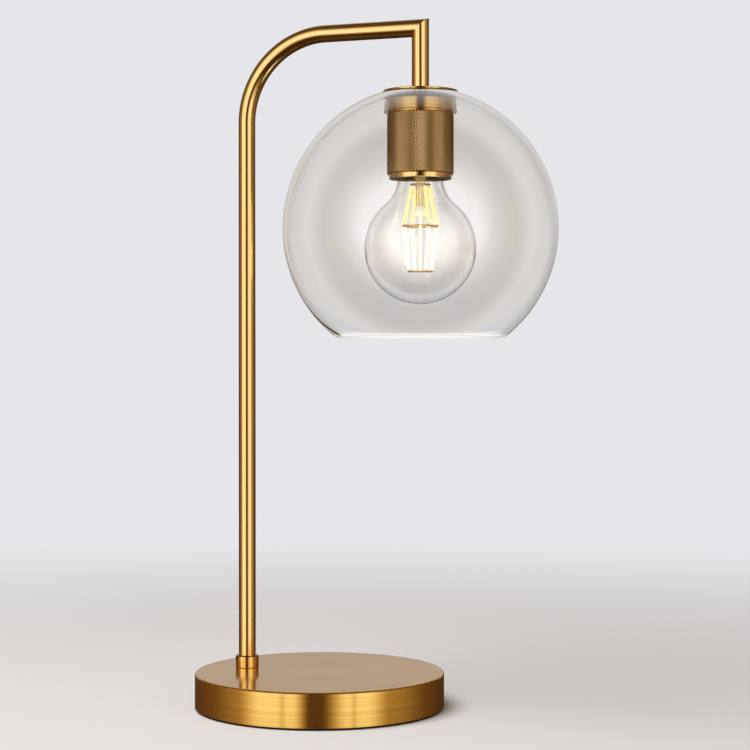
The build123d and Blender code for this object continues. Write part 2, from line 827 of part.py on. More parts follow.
terminal_top = insert_top + strap_thickness + terminal_height
with BuildPart() as clamp_screws:
    for side in (1, -1):
        clamp_x = head_x + side * (terminal_reach + terminal_length / 2)
        shank_bottom = wire_level + core_diameter / 2
        with BuildSketch(Plane((clamp_x, -side * wire_y, shank_bottom))):
            Circle(terminal_screw_diameter / 2)
        extrude(amount=terminal_top - shank_bottom)
        with BuildSketch(Plane((clamp_x, -side * wire_y, terminal_top))):
            Circle(clamp_head / 2)
        extrude(amount=clamp_head_height)
        with BuildSketch(Plane((clamp_x, -side * wire_y, terminal_top + clamp_head_height))):
            Rectangle(clamp_head, screw_slot_width)
        extrude(amount=-screw_slot_depth, mode=Mode.SUBTRACT)
save(clamp_screws, "clamp_screws")

# Sprung centre contact: riveted under the roof, it bows down onto the bulb's tip.
contact_end = live_rivet_reach + rivet_diameter
contact_knee = live_rivet_reach - rivet_diameter
contact_high = insert_ceiling - contact_thickness
curl_end = -contact_flat - contact_curl
with BuildPart() as centre_contact:
    with BuildSketch(head_plane):
        with BuildLine():
            Polyline(
                (contact_end, contact_high),
                (contact_knee, contact_high),
                (contact_flat, tip_top),
                (-contact_flat, tip_top),
                (curl_end, tip_top + contact_lift),
                (curl_end, tip_top + contact_lift + contact_thickness),
                (-contact_flat, tip_top + contact_thickness),
                (contact_flat, tip_top + contact_thickness),
                (contact_knee, insert_ceiling),
                (contact_end, insert_ceiling),
                close=True,
            )
        make_face()
    extrude(amount=contact_width / 2, both=True)
    with BuildSketch(at_level(contact_high, head_x)):
        with Locations(live_rivet):
            Circle(rivet_diameter / 2 + mating_gap)
    extrude(amount=contact_thickness, mode=Mode.SUBTRACT)
save(centre_contact, "centre_contact")

with BuildPart() as contact_rivets:
    for (x, y), low, high in (
        (live_rivet, contact_high, insert_top + strap_thickness),
        (neutral_rivet, insert_ceiling - socket_wall, insert_top + strap_thickness),
    ):
        with BuildSketch(Plane((head_x + x, y, low))):
            Circle(rivet_diameter / 2)
        extrude(amount=high - low)
        with BuildSketch(Plane((head_x + x, y, low))):
            Circle(rivet_head_diameter / 2)
        extrude(amount=-rivet_head_height)
save(contact_rivets, "contact_rivets")

# ---------------------------------------------------------------- bulb
# Nickelled brass screw cap: a flared skirt over the glass neck, and the thread above it.
minor_radius = cap_minor_diameter / 2
skirt_radius = cap_skirt_diameter / 2
skirt_shoulder = cap_thread_bottom - (skirt_radius - minor_radius) / 2
with BuildPart() as bulb_cap:
    turn(
        [
            (skirt_radius, cap_bottom),
            (skirt_radius, skirt_shoulder),
            (minor_radius, cap_thread_bottom),
            (minor_radius, cap_top - cap_crown),
            (minor_radius - cap_crown, cap_top),
            (minor_radius - cap_crown - cap_wall, cap_top),
            (minor_radius - cap_crown - cap_wall, cap_top - cap_wall),
            (minor_radius - cap_wall, cap_top - cap_crown - cap_wall),
            (minor_radius - cap_wall, cap_thread_bottom + cap_wall / 2),
            (skirt_radius - cap_wall, skirt_shoulder),
            (skirt_radius - cap_wall, cap_bottom),
        ],
        head_plane,
        head_axis,
    )
    screw_thread(minor_radius, cap_thread_start, cap_thread_rise, outward=True)
save(bulb_cap, "bulb_cap")

tip_radius = bulb_tip_diameter / 2
insulator_radius = minor_radius - cap_crown - cap_wall - mating_gap
tip_middle = tip_bottom + bulb_tip_height / 2
with BuildPart() as bulb_insulator:
    turn(
        [
            (0, cap_top - 3 * cap_wall),
            (insulator_radius, cap_top - 3 * cap_wall),
            (insulator_radius, cap_top),
            (tip_radius + insulator_shoulder, tip_middle),
            (tip_radius + mating_gap, tip_middle),
            (tip_radius + mating_gap, tip_bottom),
            (0, tip_bottom),
        ],
        head_plane,
        head_axis,
    )
save(bulb_insulator, "bulb_insulator")

# Soldered centre tip, round about the axis, so it shows no turn.
with BuildPart() as bulb_tip:
    disc(head_x, tip_bottom, tip_top, tip_radius)
    fillet(bulb_tip.edges().group_by(Axis.Z)[-1], bulb_tip_height / 2)
save(bulb_tip, "bulb_tip")

# Blown envelope: a ball, drawn up to the neck by a hollow shoulder.
neck_radius = bulb_neck_diameter / 2
shoulder_rise = sqrt(
    (bulb_radius + bulb_shoulder_radius) ** 2 - (neck_radius + bulb_shoulder_radius) ** 2
)
shoulder_centre = (neck_radius + bulb_shoulder_radius, bulb_centre + shoulder_rise)
shoulder_angle = degrees(atan2(shoulder_rise, shoulder_centre[0]))
neck_top = skirt_shoulder - mating_gap
with BuildPart() as bulb_envelope:
    with BuildSketch(head_plane):
        with BuildLine():
            ball = CenterArc((0, bulb_centre), bulb_radius, -90, 90 + shoulder_angle)
            CenterArc(shoulder_centre, bulb_shoulder_radius, 180, shoulder_angle)
            inner_ball = CenterArc((0, bulb_centre), bulb_radius - bulb_wall, -90, 90 + shoulder_angle)
            CenterArc(shoulder_centre, bulb_shoulder_radius + bulb_wall, 180, shoulder_angle)
            Polyline(
                (neck_radius, shoulder_centre[1]),
                (neck_radius, neck_top),
                (neck_radius - bulb_wall, neck_top),
                (neck_radius - bulb_wall, shoulder_centre[1]),
            )
            Line(ball @ 0, inner_ball @ 0)
        make_face()
    revolve(axis=head_axis)
save(bulb_envelope, "bulb_envelope")

# Glass stem: a flare sealed in the neck, a tube, a pinched foot and a thin rod.
stem_radius = stem_tube_diameter / 2
stem_bore = stem_radius - bulb_wall
tier_top = bulb_bottom + tier_top_height
tier_middle = bulb_bottom + tier_middle_height
tier_bottom = bulb_bottom + tier_bottom_height
flare_radius = neck_radius - bulb_wall - mating_gap
pinch_top = tier_middle + pinch_rise + pinch_height
rod_radius = stem_rod_diameter / 2
flare_knee = flare_knee_diameter / 2
with BuildPart() as bulb_stem:
    turn(
        [
            (stem_bore, pinch_top),
            (0, pinch_top),
            (0, pinch_top - bulb_wall),
            (stem_radius, pinch_top - bulb_wall),
            (stem_radius, cap_bottom - flare_rise),
            (flare_knee, cap_bottom - flare_lip),
            (flare_radius, cap_bottom + flare_lip),
            (flare_radius, cap_bottom + flare_lip + bulb_wall),
            (flare_knee - bulb_wall, cap_bottom - flare_lip + bulb_wall),
            (stem_bore, cap_bottom - flare_rise + bulb_wall),
        ],
        head_plane,
        head_axis,
    )
    with BuildSketch(at_level(pinch_top - bulb_wall / 2, head_x)):
        RectangleRounded(pinch_width, pinch_thickness, pinch_corner)
    extrude(amount=-pinch_height)
    disc(head_x, tier_bottom + support_wire, pinch_top - pinch_height / 2, rod_radius)
save(bulb_stem, "bulb_stem")


def support_ring(level, diameter, inner, spoke_angle):
    """A stamped nickel ring with two spokes in towards the stem, in the open part."""
    length = (diameter - support_wire) / 2 - inner
    with BuildSketch(at_level(level - support_wire / 2, head_x)) as ring:
        Circle((diameter + support_wire) / 2)
        Circle((diameter - support_wire) / 2, mode=Mode.SUBTRACT)
        with PolarLocations(inner + (length + mating_gap) / 2, 2, start_angle=spoke_angle):
            Rectangle(length + mating_gap, support_wire)
    extrude(ring.sketch, amount=support_wire)


with BuildPart() as filament_frame:
    spoke_angle = filament_angle + 180 / filament_count
    support_ring(tier_top, tier_top_diameter, stem_radius + mating_gap, spoke_angle)
    support_ring(tier_middle, tier_middle_diameter, rod_radius + mating_gap, spoke_angle)
    support_ring(tier_bottom, tier_bottom_diameter, 0, spoke_angle)
save(filament_frame, "filament_frame")

# Eight filament sticks in two tiers, leaning out to the middle ring and in again.
filament_stop = support_wire + filament_end_gap
with BuildPart() as filaments:
    for high, high_diameter, low, low_diameter in (
        (tier_top, tier_top_diameter, tier_middle, tier_middle_diameter),
        (tier_middle, tier_middle_diameter, tier_bottom, tier_bottom_diameter),
    ):
        for i in range(filament_count):
            angle = radians(filament_angle + 360 / filament_count * i)
            outward = Vector(cos(angle), sin(angle), 0)
            upper = Vector(head_x, 0, high) + outward * (high_diameter / 2)
            lower = Vector(head_x, 0, low) + outward * (low_diameter / 2)
            along = (lower - upper).normalized()
            with BuildSketch(Plane(upper + along * filament_stop, z_dir=along)):
                Circle(filament_diameter / 2)
            extrude(amount=(lower - upper).length - 2 * filament_stop)
save(filaments, "filaments")

# Driver: a round board across the cap, its capacitor, and two leads down the stem.
board_level = cap_thread_bottom + board_rise
board_top = board_level + board_thickness
with BuildPart() as driver_board:
    disc(head_x, board_level, board_top, minor_radius - cap_wall - hole_gap)
save(driver_board, "driver_board")

with BuildPart() as driver_parts:
    disc(
        head_x - capacitor_offset, board_top, board_top + capacitor_height, capacitor_diameter / 2
    )
    with BuildSketch(at_level(board_top, head_x + rectifier_offset)):
        Rectangle(rectifier_width, rectifier_length)
    extrude(amount=rectifier_height)
save(driver_parts, "driver_parts")

with BuildPart() as bulb_leads:
    with BuildSketch(at_level(pinch_top, head_x)):
        with Locations((-lead_spacing / 2, 0), (lead_spacing / 2, 0)):
            Circle(lead_diameter / 2)
    extrude(amount=board_level - pinch_top)
save(bulb_leads, "bulb_leads")

# ---------------------------------------------------------------- wiring inside the lamp
# Each wire runs in its own upright plane from the holder's clamp to the terminal block.
run_level = cover_top + wire_clearance + wire_diameter / 2
rise_start = stem_x + wire_straight
rise_end = rise_start + wire_rise_run
spread_start = rise_end + wire_level_run
spread_end = spread_start + wire_spread_run


def lay_wire(side):
    """One insulated wire with a bare core at each end: side 1 is live, -1 neutral."""
    y = -side * wire_y
    pole_y = -side * block_pole_spacing / 2
    clamp_x = head_x + side * terminal_reach
    with BuildLine(Plane((0, y, 0), x_dir=(1, 0, 0), z_dir=(0, -1, 0))) as upright:
        FilletPolyline(
            (clamp_x, wire_level),
            (head_x, wire_level),
            (head_x, arm_height),
            (stem_x, arm_height),
            (stem_x, run_level),
            (rise_start, run_level),
            (rise_end, pole_level),
            ((rise_end + spread_start) / 2, pole_level),
            radius=[holder_bend, mitre_bend, bend_radius, base_bend, wire_set, wire_set],
        )
    with BuildLine(Plane((0, 0, pole_level))) as level:
        FilletPolyline(
            ((rise_end + spread_start) / 2, y),
            (spread_start, y),
            (spread_end, pole_y),
            (block_left, pole_y),
            radius=wire_set,
        )
    route = Wire(upright.edges() + level.edges())
    with BuildSketch(Plane((clamp_x, y, wire_level), z_dir=(-side, 0, 0))) as section:
        Circle(wire_diameter / 2)
    sweep(section.sketch, path=route)
    for end_x, end_y, level_z, way in (
        (clamp_x, y, wire_level, side),
        (block_left, pole_y, pole_level, 1),
    ):
        with BuildSketch(Plane((end_x, end_y, level_z), z_dir=(way, 0, 0))) as core:
            Circle(core_diameter / 2)
        extrude(core.sketch, amount=terminal_length)
    return route


with BuildPart() as live_wire:
    live_route = lay_wire(1)
save(live_wire, "live_wire")

with BuildPart() as neutral_wire:
    neutral_route = lay_wire(-1)
save(neutral_wire, "neutral_wire")

for name, wire, route in (
    ("live", live_wire, live_route),
    ("neutral", neutral_wire, neutral_route),
):
    swept = pi * (wire_diameter / 2) ** 2 * route.length
    cores = 2 * pi * (core_diameter / 2) ** 2 * terminal_length
    made = wire.part.volume
    print(f"{name} wire: {route.length:.1f} mm long, volume {made:.1f} of {swept + cores:.1f}")
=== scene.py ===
"""Table lamp with a clear glass globe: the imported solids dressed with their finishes, in a pale studio."""
from math import asin, atan2, cos, degrees, pi, radians, sin, sqrt

import bmesh
import bpy
from mathutils import Matrix, Vector


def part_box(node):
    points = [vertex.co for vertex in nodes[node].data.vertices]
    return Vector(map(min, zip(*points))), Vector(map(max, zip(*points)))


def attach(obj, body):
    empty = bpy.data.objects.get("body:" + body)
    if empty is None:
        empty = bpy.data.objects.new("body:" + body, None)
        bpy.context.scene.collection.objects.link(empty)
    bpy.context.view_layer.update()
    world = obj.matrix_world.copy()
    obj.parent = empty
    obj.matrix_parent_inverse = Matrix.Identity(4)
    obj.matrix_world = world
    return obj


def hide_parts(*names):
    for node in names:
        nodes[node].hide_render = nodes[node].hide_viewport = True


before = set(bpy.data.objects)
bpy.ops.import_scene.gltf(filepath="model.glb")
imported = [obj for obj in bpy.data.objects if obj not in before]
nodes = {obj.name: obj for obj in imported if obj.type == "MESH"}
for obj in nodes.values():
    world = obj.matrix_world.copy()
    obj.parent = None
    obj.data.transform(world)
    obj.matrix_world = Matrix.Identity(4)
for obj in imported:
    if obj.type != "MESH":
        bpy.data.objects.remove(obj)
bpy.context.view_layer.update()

# ---------------------------------------------------------------- base shell
# A spun steel dish, turned down over the iron weight. Its top and side are brushed round and round on the
# lathe with a fine abrasive, then lacquered gold, so its highlights spread across the brush lines.


def linear(hex_colour):
    """An sRGB hex colour as linear RGBA."""
    channels = [int(hex_colour[i:i + 2], 16) / 255 for i in (1, 3, 5)]
    return tuple(c / 12.92 if c <= 0.04045 else ((c + 0.055) / 1.055) ** 2.4 for c in channels) + (1,)


def add(owner, kind, settings={}, inputs={}):
    """Adds a node to a material or world, with its settings, and its sockets' values or links."""
    tree = owner.node_tree
    node = tree.nodes.new("ShaderNode" + kind)
    for name, value in settings.items():
        setattr(node, name, value)
    for name, value in inputs.items():
        if isinstance(value, bpy.types.Node):
            value = value.outputs[0]
        if isinstance(value, bpy.types.NodeSocket):
            tree.links.new(value, node.inputs[name])
        else:
            node.inputs[name].default_value = value
    return node


def new_material(name):
    """An empty node material with its output alone."""
    material = bpy.data.materials.new(name)
    material.use_nodes = True
    material.node_tree.nodes.clear()
    add(material, "OutputMaterial")
    return material


def finish(material, shader):
    """Joins the last shader to the material's output."""
    tree = material.node_tree
    tree.links.new(shader.outputs[0], tree.nodes["Material Output"].inputs["Surface"])
    return material


def dress(material, *names):
    """Gives CAD nodes one material all over."""
    for name in names:
        mesh = nodes[name].data
        mesh.materials.clear()
        mesh.materials.append(material)


def place(material):
    """Object coordinates, the row's own frame in metres."""
    return add(material, "TexCoord").outputs["Object"]


def arc(centre, radius, start, end, steps):
    """Points (distance from the axis, height) along an arc, with its angles in degrees from level."""
    turns = (radians(start + (end - start) * i / steps) for i in range(steps + 1))
    return [(centre[0] + radius * cos(turn), centre[1] + radius * sin(turn)) for turn in turns]


def spin_outline(outline, axis_x, steps):
    """A bmesh turned about an upright axis. An outline that starts on the axis stays open there."""
    bm = bmesh.new()
    corners = [bm.verts.new((axis_x + out, 0, up)) for out, up in outline]
    joined = corners + corners[:1] if outline[0][0] > 0.000001 else corners
    for pair in zip(joined, joined[1:]):
        bm.edges.new(pair)
    bmesh.ops.spin(bm, geom=bm.verts[:] + bm.edges[:], cent=(axis_x, 0, 0), axis=(0, 0, 1), angle=2 * pi,
                   steps=steps, use_merge=True)
    bmesh.ops.remove_doubles(bm, verts=bm.verts[:], dist=0.000001)
    bmesh.ops.recalc_face_normals(bm, faces=bm.faces[:])
    return bm


def make_piece(name, bm, material, sharp=30):
    """The bmesh as an object, smooth but for its edges sharper than an angle in degrees."""
    mesh = bpy.data.meshes.new(name)
    bm.to_mesh(mesh)
    bm.free()
    mesh.shade_smooth()
    mesh.set_sharp_from_angle(angle=radians(sharp))
    mesh.materials.append(material)
    piece = bpy.data.objects.new(name, mesh)
    bpy.context.collection.objects.link(piece)
    return piece


def stand_for(piece, node, body):
    """The piece takes a CAD node's place and its body."""
    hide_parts(node)
    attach(piece, body)


# Gold lacquer over brushed steel: fine rings on the top and level lines on the side, drawn 1.1 mm apart,
# coarser than real, so that they show. A soft sheen runs across them, and the tinted lacquer browns the dark
# parts.
lacquered_gold = new_material("gold_lacquer_brushed_round")
where = place(lacquered_gold)
apart = add(lacquered_gold, "SeparateXYZ", inputs={0: where})
outward = add(lacquered_gold, "VectorMath", {"operation": "MULTIPLY"}, {0: where, 1: (1, 1, 0)})
radius = add(lacquered_gold, "VectorMath", {"operation": "LENGTH"}, {0: outward}).outputs["Value"]
ring_place = add(lacquered_gold, "CombineXYZ", inputs={"X": radius, "Z": apart.outputs["Z"]})
brush_lines = add(lacquered_gold, "TexNoise", inputs={"Vector": ring_place, "Scale": 1 / 0.0011, "Detail": 3})
clouds = add(lacquered_gold, "TexNoise", inputs={"Vector": where, "Scale": 1 / 0.02, "Detail": 2})
tint = add(lacquered_gold, "MapRange", inputs={"Value": brush_lines, "From Min": 0.3, "From Max": 0.7})
colour = add(lacquered_gold, "Mix", {"data_type": "RGBA"},
             {"Factor": tint, 6: linear("#D8AD52"), 7: linear("#EAC872")})
uneven = add(lacquered_gold, "Math", {"operation": "ADD"}, {0: brush_lines, 1: clouds})
rough = add(lacquered_gold, "MapRange",
            inputs={"Value": uneven, "From Min": 0.7, "From Max": 1.3, "To Min": 0.11, "To Max": 0.17})
relief = add(lacquered_gold, "Bump", inputs={"Strength": 0.12, "Distance": 0.00001, "Height": brush_lines})
round_about = add(lacquered_gold, "Tangent", {"direction_type": "RADIAL", "axis": "Z"})
gold = add(lacquered_gold, "BsdfPrincipled", inputs={
    "Base Color": colour.outputs["Result"], "Metallic": 1, "Roughness": rough, "Normal": relief,
    "Anisotropic": 0.7, "Anisotropic Rotation": 0.25, "Tangent": round_about,
    "Coat Weight": 0.3, "Coat Roughness": 0.07})
tinted = add(lacquered_gold, "BsdfDiffuse", inputs={"Color": linear("#C4722A")})
finish(lacquered_gold, add(lacquered_gold, "MixShader", inputs={0: 0.12, 1: gold, 2: tinted}))

low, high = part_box("base_shell")
shell_wall, shell_edge, edge_ring = 0.0012, 0.0015, 0.0002  # edge_ring: a ring just inside the rounded edge
stud_hole, inlet_hole, inlet_height = 0.0052, 0.0047, 0.0105
stem_x = sum(corner.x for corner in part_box("stem_collar")) / 2
shell_inside = high.y - shell_wall
top_rings = 8  # they keep the top's faces short, so that its shading runs evenly
outline = [(high.y * ring / top_rings, high.z) for ring in range(top_rings)]
outline += [(high.y - shell_edge - edge_ring, high.z)]
outline += arc((high.y - shell_edge, high.z - shell_edge), shell_edge, 90, 0, 8)
outline += [(high.y, low.z), (shell_inside, low.z), (shell_inside, high.z - shell_wall),
            (0, high.z - shell_wall)]
shell = make_piece("base_shell_spun", spin_outline(outline, 0, 288), lacquered_gold)
bm = bmesh.new()
for bore, depth, place_of_bore in (
        (stud_hole, 4 * shell_wall, Matrix.Translation((stem_x, 0, high.z - shell_wall))),
        (inlet_hole, 8 * shell_wall,
         Matrix.Translation((low.x, 0, inlet_height)) @ Matrix.Rotation(pi / 2, 4, "Y"))):
    bmesh.ops.create_cone(bm, cap_ends=True, segments=48, radius1=bore, radius2=bore, depth=depth,
                          matrix=place_of_bore)
drills = make_piece("shell_drills", bm, lacquered_gold)
drilled = shell.modifiers.new("holes", "BOOLEAN")
drilled.operation, drilled.solver, drilled.object = "DIFFERENCE", "EXACT", drills
shell_mesh = bpy.data.meshes.new_from_object(shell.evaluated_get(bpy.context.evaluated_depsgraph_get()))
shell_mesh.set_sharp_from_angle(angle=radians(30))
shell.modifiers.clear()
shell.data = shell_mesh
bpy.data.objects.remove(drills)
stand_for(shell, "base_shell", "lamp")

# ---------------------------------------------------------------- weight, cover, screws, pad, grommet
# A cast iron disc gives the lamp its stand. A zinc plated sheet closes it, held by three countersunk screws,
# and a foam pad is glued over the sheet. A rubber grommet lines the cord's hole at the back.

# Cast iron in black primer: a sand-cast skin, grains about 1 mm across under thin matt paint.
primed_iron = new_material("cast_iron_black_primer")
sand = add(primed_iron, "TexNoise", inputs={"Vector": place(primed_iron), "Scale": 1 / 0.001, "Detail": 4})
colour = add(primed_iron, "Mix", {"data_type": "RGBA"},
             {"Factor": sand, 6: linear("#1C1C1E"), 7: linear("#36363A")})
relief = add(primed_iron, "Bump", inputs={"Strength": 0.6, "Distance": 0.0002, "Height": sand})
iron = add(primed_iron, "BsdfPrincipled", inputs={
    "Base Color": colour.outputs["Result"], "Roughness": 0.7, "Normal": relief})
dress(finish(primed_iron, iron), "base_weight")

# Bright zinc plate on steel: a thin blue-grey metal with soft mottling 2 mm across.
zinc_plate = new_material("zinc_plated_steel")
mottle = add(zinc_plate, "TexNoise", inputs={"Vector": place(zinc_plate), "Scale": 1 / 0.002, "Detail": 3})
colour = add(zinc_plate, "Mix", {"data_type": "RGBA"},
             {"Factor": mottle, 6: linear("#AEB2B6"), 7: linear("#C6C9CC")})
rough = add(zinc_plate, "MapRange", inputs={"Value": mottle, "To Min": 0.22, "To Max": 0.42})
zinc = add(zinc_plate, "BsdfPrincipled", inputs={
    "Base Color": colour.outputs["Result"], "Metallic": 1, "Roughness": rough})
dress(finish(zinc_plate, zinc), "base_cover", "cover_screws", "block_screw")

# Closed-cell foam: dull black, with a skin of cells about 0.6 mm across.
foam = new_material("closed_cell_foam")
cells = add(foam, "TexVoronoi", inputs={"Vector": place(foam), "Scale": 1 / 0.0006})
colour = add(foam, "Mix", {"data_type": "RGBA"},
             {"Factor": cells.outputs["Distance"], 6: linear("#161616"), 7: linear("#262626")})
relief = add(foam, "Bump", inputs={"Strength": 0.4, "Distance": 0.0001, "Height": cells.outputs["Distance"]})
cushion = add(foam, "BsdfPrincipled", inputs={"Base Color": colour.outputs["Result"], "Roughness": 0.9,
                                              "Normal": relief})
dress(finish(foam, cushion), "foot_pad")

# Moulded rubber: near black, with a faint bloom and a fine spark-eroded grain of 0.3 mm.
rubber = new_material("moulded_rubber")
grain = add(rubber, "TexNoise", inputs={"Vector": place(rubber), "Scale": 1 / 0.0003, "Detail": 2})
colour = add(rubber, "Mix", {"data_type": "RGBA"},
             {"Factor": grain, 6: linear("#19181A"), 7: linear("#2B2A2B")})
relief = add(rubber, "Bump", inputs={"Strength": 0.3, "Distance": 0.00005, "Height": grain})
elastic = add(rubber, "BsdfPrincipled", inputs={"Base Color": colour.outputs["Result"], "Roughness": 0.55,
                                                "Normal": relief})
dress(finish(rubber, elastic), "cord_grommet")

# ---------------------------------------------------------------- terminal block
# Two brass tubes in a moulded nylon block, with clamp screws, where the cord meets the lamp's own wires.
# One screw holds the block under the weight's roof.

# Moulded nylon: off-white and waxy, with slow shading from the mould 4 mm across.
nylon = new_material("moulded_nylon")
flow = add(nylon, "TexNoise", inputs={"Vector": place(nylon), "Scale": 1 / 0.004, "Detail": 2})
colour = add(nylon, "Mix", {"data_type": "RGBA"},
             {"Factor": flow, 6: linear("#DEDCD2"), 7: linear("#EFEDE6")})
rough = add(nylon, "MapRange", inputs={"Value": flow, "To Min": 0.4, "To Max": 0.55})
waxy = add(nylon, "BsdfPrincipled", inputs={"Base Color": colour.outputs["Result"], "Roughness": rough,
                                            "Subsurface Weight": 0.1, "Subsurface Scale": 0.001})
dress(finish(nylon, waxy), "terminal_block")

# Contact brass under a flash of nickel: pale yellow metal, its plating worn in patches about 1 mm across.
contact_brass = new_material("nickel_flashed_contact_brass")
patches = add(contact_brass, "TexNoise",
              inputs={"Vector": place(contact_brass), "Scale": 1 / 0.001, "Detail": 3})
worn = add(contact_brass, "MapRange", inputs={"Value": patches, "From Min": 0.4, "From Max": 0.6})
colour = add(contact_brass, "Mix", {"data_type": "RGBA"},
             {"Factor": worn, 6: linear("#CDB27A"), 7: linear("#D9C9A6")})
rough = add(contact_brass, "MapRange", inputs={"Value": patches, "To Min": 0.2, "To Max": 0.36})
contact = add(contact_brass, "BsdfPrincipled", inputs={
    "Base Color": colour.outputs["Result"], "Metallic": 1, "Roughness": rough})
finish(contact_brass, contact)
dress(contact_brass, "terminal_tubes")
dress(zinc_plate, "terminal_screws")

# ---------------------------------------------------------------- collar, washers, nut
# A turned brass collar screws down on the shell round the stem's foot. Below, a plain washer, a toothed
# washer and a thin nut clamp its hollow stud to the weight.

# Turned and polished brass under clear lacquer: a bright yellow metal with tool rings 0.4 mm apart that only
# just cloud it.
turned_brass = new_material("polished_turned_brass")
where = place(turned_brass)
height = add(turned_brass, "SeparateXYZ", inputs={0: where}).outputs["Z"]
level = add(turned_brass, "CombineXYZ", inputs={"Z": height})
rings = add(turned_brass, "TexNoise", inputs={"Vector": level, "Scale": 1 / 0.0004, "Detail": 1})
haze = add(turned_brass, "TexNoise", inputs={"Vector": where, "Scale": 1 / 0.006, "Detail": 2})
colour = add(turned_brass, "Mix", {"data_type": "RGBA"},
             {"Factor": haze, 6: linear("#E3BE72"), 7: linear("#ECCB84")})
rough = add(turned_brass, "MapRange", inputs={"Value": rings, "To Min": 0.05, "To Max": 0.12})
brass = add(turned_brass, "BsdfPrincipled", inputs={
    "Base Color": colour.outputs["Result"], "Metallic": 1, "Roughness": rough,
    "Coat Weight": 0.2, "Coat Roughness": 0.05})
finish(turned_brass, brass)
dress(turned_brass, "stem_collar")
dress(zinc_plate, "stem_washer", "star_washer", "stem_nut")

# ---------------------------------------------------------------- arm and drop tube
# One 11 mm brass tube is bent from stem to arm and mitred at its end. The short drop tube is mitred to match
# and brazed to it, with a hollow stud brazed in its lower end.

# Satin brass tube: belt-polished along its length and lacquered, so it shows soft bright and dark bands with
# fine mottling 3 mm across.
satin_tube = new_material("satin_lacquered_brass_tube")
where = place(satin_tube)
haze = add(satin_tube, "TexNoise", inputs={"Vector": where, "Scale": 1 / 0.003, "Detail": 3})
grit = add(satin_tube, "TexNoise", inputs={"Vector": where, "Scale": 1 / 0.0003, "Detail": 1})
colour = add(satin_tube, "Mix", {"data_type": "RGBA"},
             {"Factor": haze, 6: linear("#E8C482"), 7: linear("#EECB8C")})
rough = add(satin_tube, "MapRange", inputs={"Value": haze, "To Min": 0.1, "To Max": 0.15})
relief = add(satin_tube, "Bump", inputs={"Strength": 0.05, "Distance": 0.00001, "Height": grit})
tube = add(satin_tube, "BsdfPrincipled", inputs={
    "Base Color": colour.outputs["Result"], "Metallic": 1, "Roughness": rough, "Normal": relief,
    "Coat Weight": 0.15, "Coat Roughness": 0.1})
finish(satin_tube, tube)
dress(satin_tube, "drop_tube")

low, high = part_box("arm_tube")
head_x = sum(corner.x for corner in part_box("drop_tube")) / 2
tube_radius, tube_wall, bend_radius = high.y, 0.001, 0.055
arm_level = high.z - tube_radius
stem_run = (0, 0, arm_level - bend_radius - low.z)
arm_run = (head_x + 2 * tube_radius - stem_x - bend_radius, 0, 0)  # past the mitre, which is cut next
bm = bmesh.new()
for radius in (tube_radius, tube_radius - tube_wall):
    bmesh.ops.create_circle(bm, segments=96, radius=radius, matrix=Matrix.Translation((stem_x, 0, low.z)))
rims = bm.edges[:]
for run in (stem_run, None, arm_run):
    if run:
        made = bmesh.ops.extrude_edge_only(bm, edges=rims)["geom"]
        ends = [part for part in made if isinstance(part, bmesh.types.BMVert)]
        bmesh.ops.translate(bm, vec=run, verts=ends)
    else:  # the bend
        rim_parts = rims + list({vert for rim in rims for vert in rim.verts})
        made = bmesh.ops.spin(bm, geom=rim_parts, cent=(stem_x + bend_radius, 0, arm_level - bend_radius),
                              axis=(0, 1, 0), angle=pi / 2, steps=160)["geom_last"]
    rims = [part for part in made if isinstance(part, bmesh.types.BMEdge)]
arm_faces = [face for face in bm.faces if any(vert.co.x > head_x for vert in face.verts)]
arm_parts = {part for face in arm_faces for part in (face, *face.edges, *face.verts)}
bmesh.ops.bisect_plane(bm, geom=list(arm_parts), plane_co=(head_x, 0, arm_level), plane_no=(1, 0, -1),
                       clear_outer=True)
open_rims = [edge for edge in bm.edges if edge.is_boundary]
foot = [rim for rim in open_rims if rim.verts[0].co.z < arm_level - bend_radius]
for ring in (foot, [rim for rim in open_rims if rim not in foot]):
    bmesh.ops.bridge_loops(bm, edges=ring)
bmesh.ops.recalc_face_normals(bm, faces=bm.faces[:])
stand_for(make_piece("arm_tube_bent", bm, satin_tube), "arm_tube", "lamp")
dress(zinc_plate, "drop_stud")

# ---------------------------------------------------------------- shade and its plate
# A thin turned brass plate sits on the flat top of the blown globe. The globe is soda-lime glass 2.6 mm
# thick, cut off and fire-polished at its mouth.
dress(turned_brass, "shade_plate")

# Blown clear glass: almost colourless, with the slow waves about 30 mm across that blowing leaves, and a
# painted glow on the rim at the mouth that stands for the light the wall carries. Shadow rays pass straight
# through.
blown_glass = new_material("blown_clear_glass")
waves = add(blown_glass, "TexNoise", inputs={"Vector": place(blown_glass), "Scale": 1 / 0.03, "Detail": 1})
relief = add(blown_glass, "Bump", inputs={"Strength": 0.03, "Distance": 0.0003, "Height": waves})
mouth_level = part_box("glass_globe")[0].z
height = add(blown_glass, "SeparateXYZ", inputs={0: place(blown_glass)}).outputs["Z"]
# A painted glow: emission in a thin band just above the mouth.
painted_rim_glow = add(blown_glass, "MapRange", {"interpolation_type": "SMOOTHSTEP"}, {
    "Value": height, "From Min": mouth_level + 0.0022, "From Max": mouth_level + 0.0006, "To Max": 0.28})
globe_wall = add(blown_glass, "BsdfPrincipled", inputs={
    "Base Color": linear("#FFFFFF"), "Roughness": 0, "IOR": 1.48, "Transmission Weight": 1, "Normal": relief,
    "Emission Color": linear("#F4F0EA"), "Emission Strength": painted_rim_glow})
clear = add(blown_glass, "BsdfTransparent", inputs={"Color": linear("#F4F6F8")})
ray = add(blown_glass, "LightPath")
either = add(blown_glass, "MixShader", inputs={0: ray.outputs["Is Shadow Ray"], 1: globe_wall, 2: clear})
finish(blown_glass, either)

